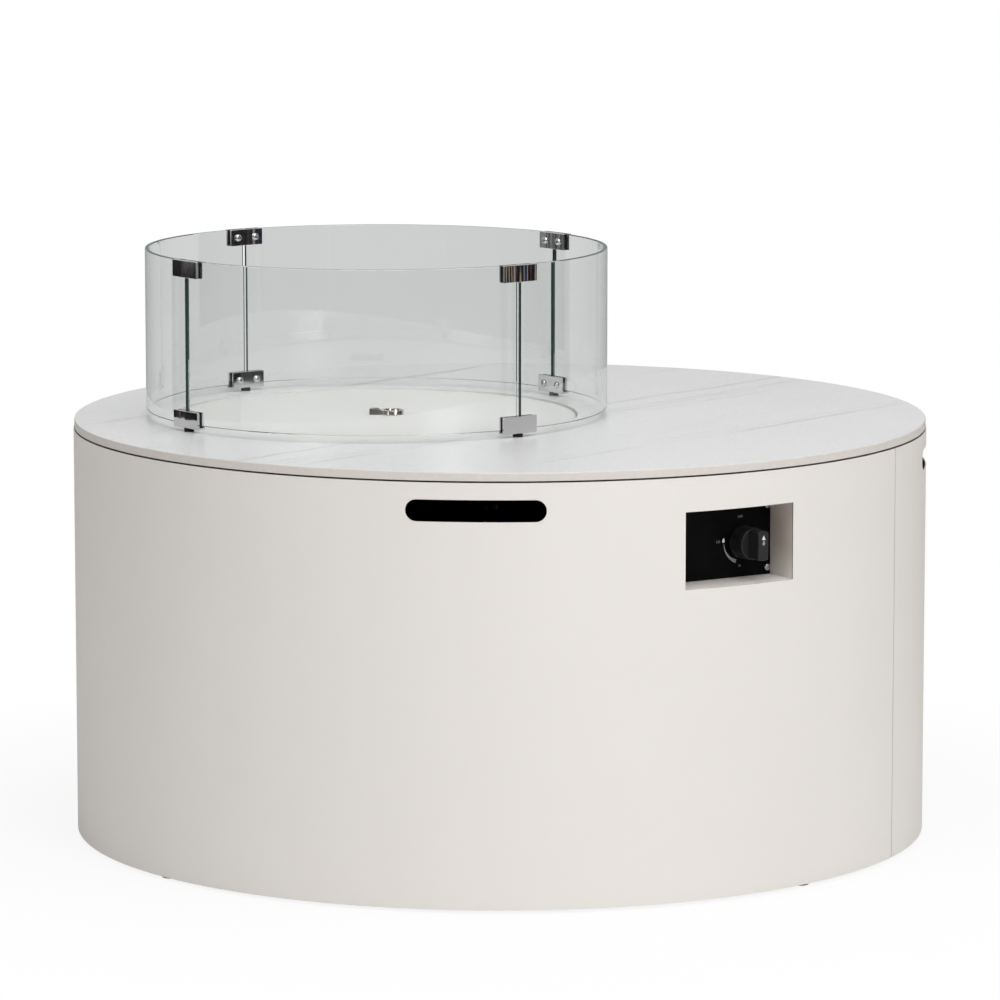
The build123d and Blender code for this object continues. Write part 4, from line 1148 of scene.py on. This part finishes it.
def weld_tree():
    tree, given = new_tree("weld_bead", {"Bead Radius": "Float", "Drop Length": "Float",
                                         "Finish": "Material"})
    line = add(tree, "GeometryNodeMeshToCurve", {"Mesh": given["Geometry"]})
    fine = add(tree, "GeometryNodeResampleCurve",
               {"Curve": line.outputs[0], "Length": given["Drop Length"]}, mode="LENGTH")
    number = add(tree, "GeometryNodeInputIndex").outputs[0]
    wave = maths(tree, "SINE", maths(tree, "MULTIPLY", number, math.pi / 2))
    swell = ranged(tree, wave, -1.0, 1.0, *BEAD_SWELL)
    sized = add(tree, "GeometryNodeSetCurveRadius", {"Curve": fine.outputs[0], "Radius": swell})
    swollen = {"Scale": add(tree, "GeometryNodeInputRadius").outputs[0]}
    bead = sweep(tree, sized.outputs[0], sides=8, radius=given["Bead Radius"], inputs=swollen)
    close_tree(tree, bead, given["Finish"])
    return tree


def post_outlines():
    """The square at the foot of each post, as loops of edges."""
    corners, edges = [], []
    for part in loose_parts("frame_posts"):
        middle = sum(part, Vector()) / len(part)
        out = Vector((middle.x, middle.y, 0)).normalized()
        side = UP.cross(out)
        half = (max(c.dot(out) for c in part) - min(c.dot(out) for c in part)) / 2
        foot = Vector((middle.x, middle.y, min(c.z for c in part)))
        first = len(corners)
        corners += [foot + (out * a + side * b) * half for a, b in ((1, 1), (1, -1), (-1, -1), (-1, 1))]
        edges += [(first + k, first + (k + 1) % 4) for k in range(4)]
    mesh = bpy.data.meshes.new("post_outlines")
    mesh.from_pydata(corners, edges, [])
    return mesh


made = grow("post_welds", post_outlines(), weld_tree(),
            {"Bead Radius": 1.8 * mm, "Drop Length": 1.1 * mm, "Finish": frame_paint})
settle("post_welds", made, None, "base")

# %% [markdown]
# ## Thread on the gas inlet
# The CAD inlet is a plain cylinder at the thread's pitch line, because a helix slows a CAD kernel down
# and nothing fits it more exactly for having one. For the eye the ridge is a spiral curve with a small
# section swept along it.

# %% Inlet thread
THREAD_TURNS = 6.0
THREAD_PITCH = 1.8 * mm
THREAD_RADIUS = 7.94 * mm
THREAD_START = 3.2 * mm
RIDGE_SHARE = 0.32
inlet_low, inlet_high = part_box("gas_inlet")
inlet_spot = (inlet_low + inlet_high) / 2


def thread_tree():
    tree, given = new_tree("thread", {"Turns": "Float", "Pitch": "Float", "Radius": "Float",
                                      "Finish": "Material"})
    height = maths(tree, "MULTIPLY", given["Turns"], given["Pitch"])
    spiral = add(tree, "GeometryNodeCurveSpiral",
                 {"Resolution": 40, "Rotations": given["Turns"], "Start Radius": given["Radius"],
                  "End Radius": given["Radius"], "Height": height})
    thick = maths(tree, "MULTIPLY", given["Pitch"], RIDGE_SHARE)
    ridge = sweep(tree, spiral.outputs[0], sides=6, radius=thick, inputs={"Fill Caps": True})
    close_tree(tree, ridge, given["Finish"])
    return tree


made = grow("inlet_thread", bpy.data.meshes.new("empty"), thread_tree(),
            {"Turns": THREAD_TURNS, "Pitch": THREAD_PITCH, "Radius": THREAD_RADIUS, "Finish": brass})
made.transform(Matrix.Translation((inlet_spot.x, inlet_spot.y, inlet_low.z + THREAD_START)))
settle("inlet_thread", made, None, "base")

# %% [markdown]
# ## Studio
# The floor and the background are plain and pale. Seen straight by the camera the floor is close to
# white with the table's soft shadow on it. Seen through the glass, floor and background are a light
# grey, as a paper sweep is, so that the panes read as glass. A mirror sees another room: on the
# camera's side it is dark, because chrome in a white room would look like white paint.

# %% Looks and mixes
SWEEP_GREY = 0.68
THROUGH_GREY = 0.675
ROOM_DARK = 0.11


def either(tree, share, first, second):
    """Mix two shaders: share 0 is the first, and 1 the second."""
    return add(tree, "ShaderNodeMixShader", {0: share, 1: first, 2: second}).outputs[0]


def glow(tree, strength, kind="ShaderNodeEmission", colour=(1, 1, 1, 1)):
    """A shader that gives light by itself, white unless it says otherwise."""
    return add(tree, kind, {"Color": colour, "Strength": strength}).outputs[0]


def straight_look(tree):
    """1 for a ray that has met only clear glass since the camera, and 0 after any mirror or paint."""
    light = add(tree, "ShaderNodeLightPath").outputs
    bounces = maths(tree, "ADD", light["Glossy Depth"], light["Diffuse Depth"])
    return maths(tree, "LESS_THAN", bounces, 0.5)


def through_glass(tree, along, near, far):
    """How bright the room is through glass: grey to a straight look, dark in front to a mirror."""
    room = ranged(tree, along, near, far, ROOM_DARK, THROUGH_GREY)
    return maths(tree, "MAXIMUM", room, maths(tree, "MULTIPLY", straight_look(tree), THROUGH_GREY))


print("the room is", ROOM_DARK, "in front and", THROUGH_GREY, "behind")

# %% Floor
FLOOR_HALF = 45.0
FLOOR_DROP = 0.5 * mm
FLOOR_FRONT = (-2, 0)
PAPER_COLOUR = (0.86, 0.86, 0.86, 1)
SHADOW_RADII = (0.55, 1.1)
WHITE_SHARES = (0.88, 1.0)


def bare_finish(name):
    """A material with only its output, and Object coordinates."""
    finish = bpy.data.materials.new(name)
    finish.use_nodes = True
    tree = finish.node_tree
    tree.nodes.remove(tree.nodes["Principled BSDF"])
    return finish, tree, add(tree, "ShaderNodeTexCoord").outputs["Object"]


def studio_floor():
    finish, tree, coords = bare_finish("studio_floor")
    light = add(tree, "ShaderNodeLightPath").outputs
    paper = add(tree, "ShaderNodeBsdfDiffuse", {"Color": PAPER_COLOUR}).outputs[0]
    white = ranged(tree, from_axis(tree, coords), *SHADOW_RADII, *WHITE_SHARES)
    seen = either(tree, white, paper, glow(tree, 1.0))
    by_eye = either(tree, light["Is Camera Ray"], paper, seen)
    grey = glow(tree, through_glass(tree, axis_of(tree, coords, "Y"), *FLOOR_FRONT))
    whole = either(tree, light["Is Transmission Ray"], by_eye, grey)
    tree.links.new(whole, tree.nodes["Material Output"].inputs["Surface"])
    return finish


def flat_board(name, corners, finish):
    mesh = bpy.data.meshes.new(name)
    mesh.from_pydata(corners, [], [range(len(corners))])
    mesh.materials.append(finish)
    board = linked(name, mesh)
    return board


floor_corners = [(x * FLOOR_HALF, y * FLOOR_HALF, 0) for x, y in ((-1, -1), (1, -1), (1, 1), (-1, 1))]
floor = flat_board("studio_floor", floor_corners, studio_floor())
floor.location.z = -FLOOR_DROP
print("floor is", 2 * FLOOR_HALF, "m across")

# %% World light
WORLD_LIGHT = 0.38
WORLD_FRONT = (-0.3, 0.6)
WORLD_FRONT_THROUGH = (-0.2, 0.5)


def backdrop(tree, strength):
    return glow(tree, strength, "ShaderNodeBackground")


def studio_world():
    world = bpy.data.worlds.new("studio_world")
    world.use_nodes = True
    tree = world.node_tree
    light = add(tree, "ShaderNodeLightPath").outputs
    depth = axis_of(tree, add(tree, "ShaderNodeTexCoord").outputs["Generated"], "Y")
    room = backdrop(tree, ranged(tree, depth, *WORLD_FRONT, ROOM_DARK, SWEEP_GREY))
    grey = backdrop(tree, through_glass(tree, depth, *WORLD_FRONT_THROUGH))
    shiny = either(tree, light["Is Glossy Ray"], backdrop(tree, WORLD_LIGHT), room)
    clear = either(tree, light["Is Transmission Ray"], shiny, grey)
    whole = either(tree, light["Is Camera Ray"], clear, backdrop(tree, 1.0))
    tree.links.new(whole, tree.nodes["World Output"].inputs["Surface"])
    bpy.context.scene.world = world


studio_world()
print("world light", WORLD_LIGHT)

# %% [markdown]
# ## Boards for the polished metal
# Polished metal is made visible by what it reflects. Two dark boards with a few upright bands stand at
# the sides, as a cluttered room would. Only mirrors meet them: the camera doesn't see them, they throw
# no shadow, and a straight look through the glass passes through them.

# %% Dark boards
BOARD_DISTANCE = 3.2
LEFT_HEIGHT = 0.45
RIGHT_HEIGHT = 0.95
BOARD_ENDS = (-1.5, 1.4)
SOOT = (0.012, 0.011, 0.012)
UMBER = (0.022, 0.017, 0.016)
BEIGE = (0.400, 0.330, 0.270)
SLATE = (0.270, 0.270, 0.280)
NAVY = (0.022, 0.032, 0.085)
LEFT_BANDS = ((-1.5, SOOT), (0.10, SOOT), (0.25, UMBER), (0.42, SOOT), (0.45, SLATE), (0.56, SLATE),
              (0.60, SOOT), (0.78, UMBER), (0.93, SOOT), (1.00, SLATE), (1.25, UMBER))
RIGHT_BANDS = ((-1.5, SOOT), (-1.24, SOOT), (-1.21, BEIGE), (-1.13, BEIGE), (-1.10, SOOT),
               (-0.84, SOOT), (-0.80, NAVY), (-0.67, NAVY), (-0.64, BEIGE), (-0.58, BEIGE),
               (-0.55, SOOT), (1.25, SOOT))


def banded_board(name, bands):
    """Bands along the board, each a place in depth and the colour there."""
    finish, tree, coords = bare_finish(name)
    near, far = BOARD_ENDS
    ramp = add(tree, "ShaderNodeValToRGB",
               {"Fac": ranged(tree, axis_of(tree, coords, "Y"), near, far, 0, 1)})
    stops = ramp.color_ramp.elements
    stops[0].color, stops[1].color = ((*bands[end][1], 1) for end in (0, -1))
    for place, colour in bands[1:]:
        stops.new((place - near) / (far - near)).color = (*colour, 1)
    lit = glow(tree, 1.0, colour=ramp.outputs["Color"])
    unseen = add(tree, "ShaderNodeBsdfTransparent").outputs[0]
    whole = either(tree, straight_look(tree), lit, unseen)
    tree.links.new(whole, tree.nodes["Material Output"].inputs["Surface"])
    return finish


def dark_board(name, side, height, bands):
    x = side * BOARD_DISTANCE
    near, far = BOARD_ENDS
    board = flat_board(name, [(x, near, 0), (x, far, 0), (x, far, height), (x, near, height)],
                       banded_board(name, bands))
    board.visible_camera = board.visible_shadow = board.visible_diffuse = False


dark_board("dark_board_left", -1, LEFT_HEIGHT, LEFT_BANDS)
dark_board("dark_board_right", 1, RIGHT_HEIGHT, RIGHT_BANDS)
print("boards stand", BOARD_DISTANCE, "m to each side")

# %% [markdown]
# ## Lamps and camera
# One large soft lamp stands in front at the right, so the round body is brightest there and falls off
# to the left, as it does on the real object. A weaker one fills the left, and one overhead lights the
# top. The camera is far away with a long lens, which keeps the round rim from looking stretched.

# %% Lamps
AIM = Vector((0, 0, 0.35))


def soft_lamp(name, place, size, power):
    lamp = bpy.data.lights.new(name, "AREA")
    lamp.shape = "DISK"
    lamp.size = size
    lamp.energy = power
    holder = linked(name, lamp)
    holder.location = place
    holder.rotation_euler = (AIM - Vector(place)).to_track_quat("-Z", "Y").to_euler()


soft_lamp("key_lamp", (3.2, -4.4, 2.6), size=2.6, power=95)
soft_lamp("fill_lamp", (-3.6, -3.4, 2.2), size=2.4, power=30)
soft_lamp("top_lamp", (0.6, -1.15, 3.3), size=3.0, power=57)
print("lamps aim at", AIM[:])

# %% Camera
CAMERA_PLACE = (0.3639, -6.8521, 1.4133)
CAMERA_TURN = math.radians(3.04)
CAMERA_PITCH = math.radians(8.306)
camera_data = bpy.data.cameras.new("photo_camera")
camera_data.sensor_width = 36.0
camera_data.lens = 198.57
camera = linked("photo_camera", camera_data)
camera.location = CAMERA_PLACE
camera.rotation_euler = (math.pi / 2 - CAMERA_PITCH, 0, CAMERA_TURN)
bpy.context.scene.camera = camera
bpy.context.scene.view_settings.view_transform = "Standard"
print("camera with a", camera_data.lens, "mm lens at", CAMERA_PLACE)
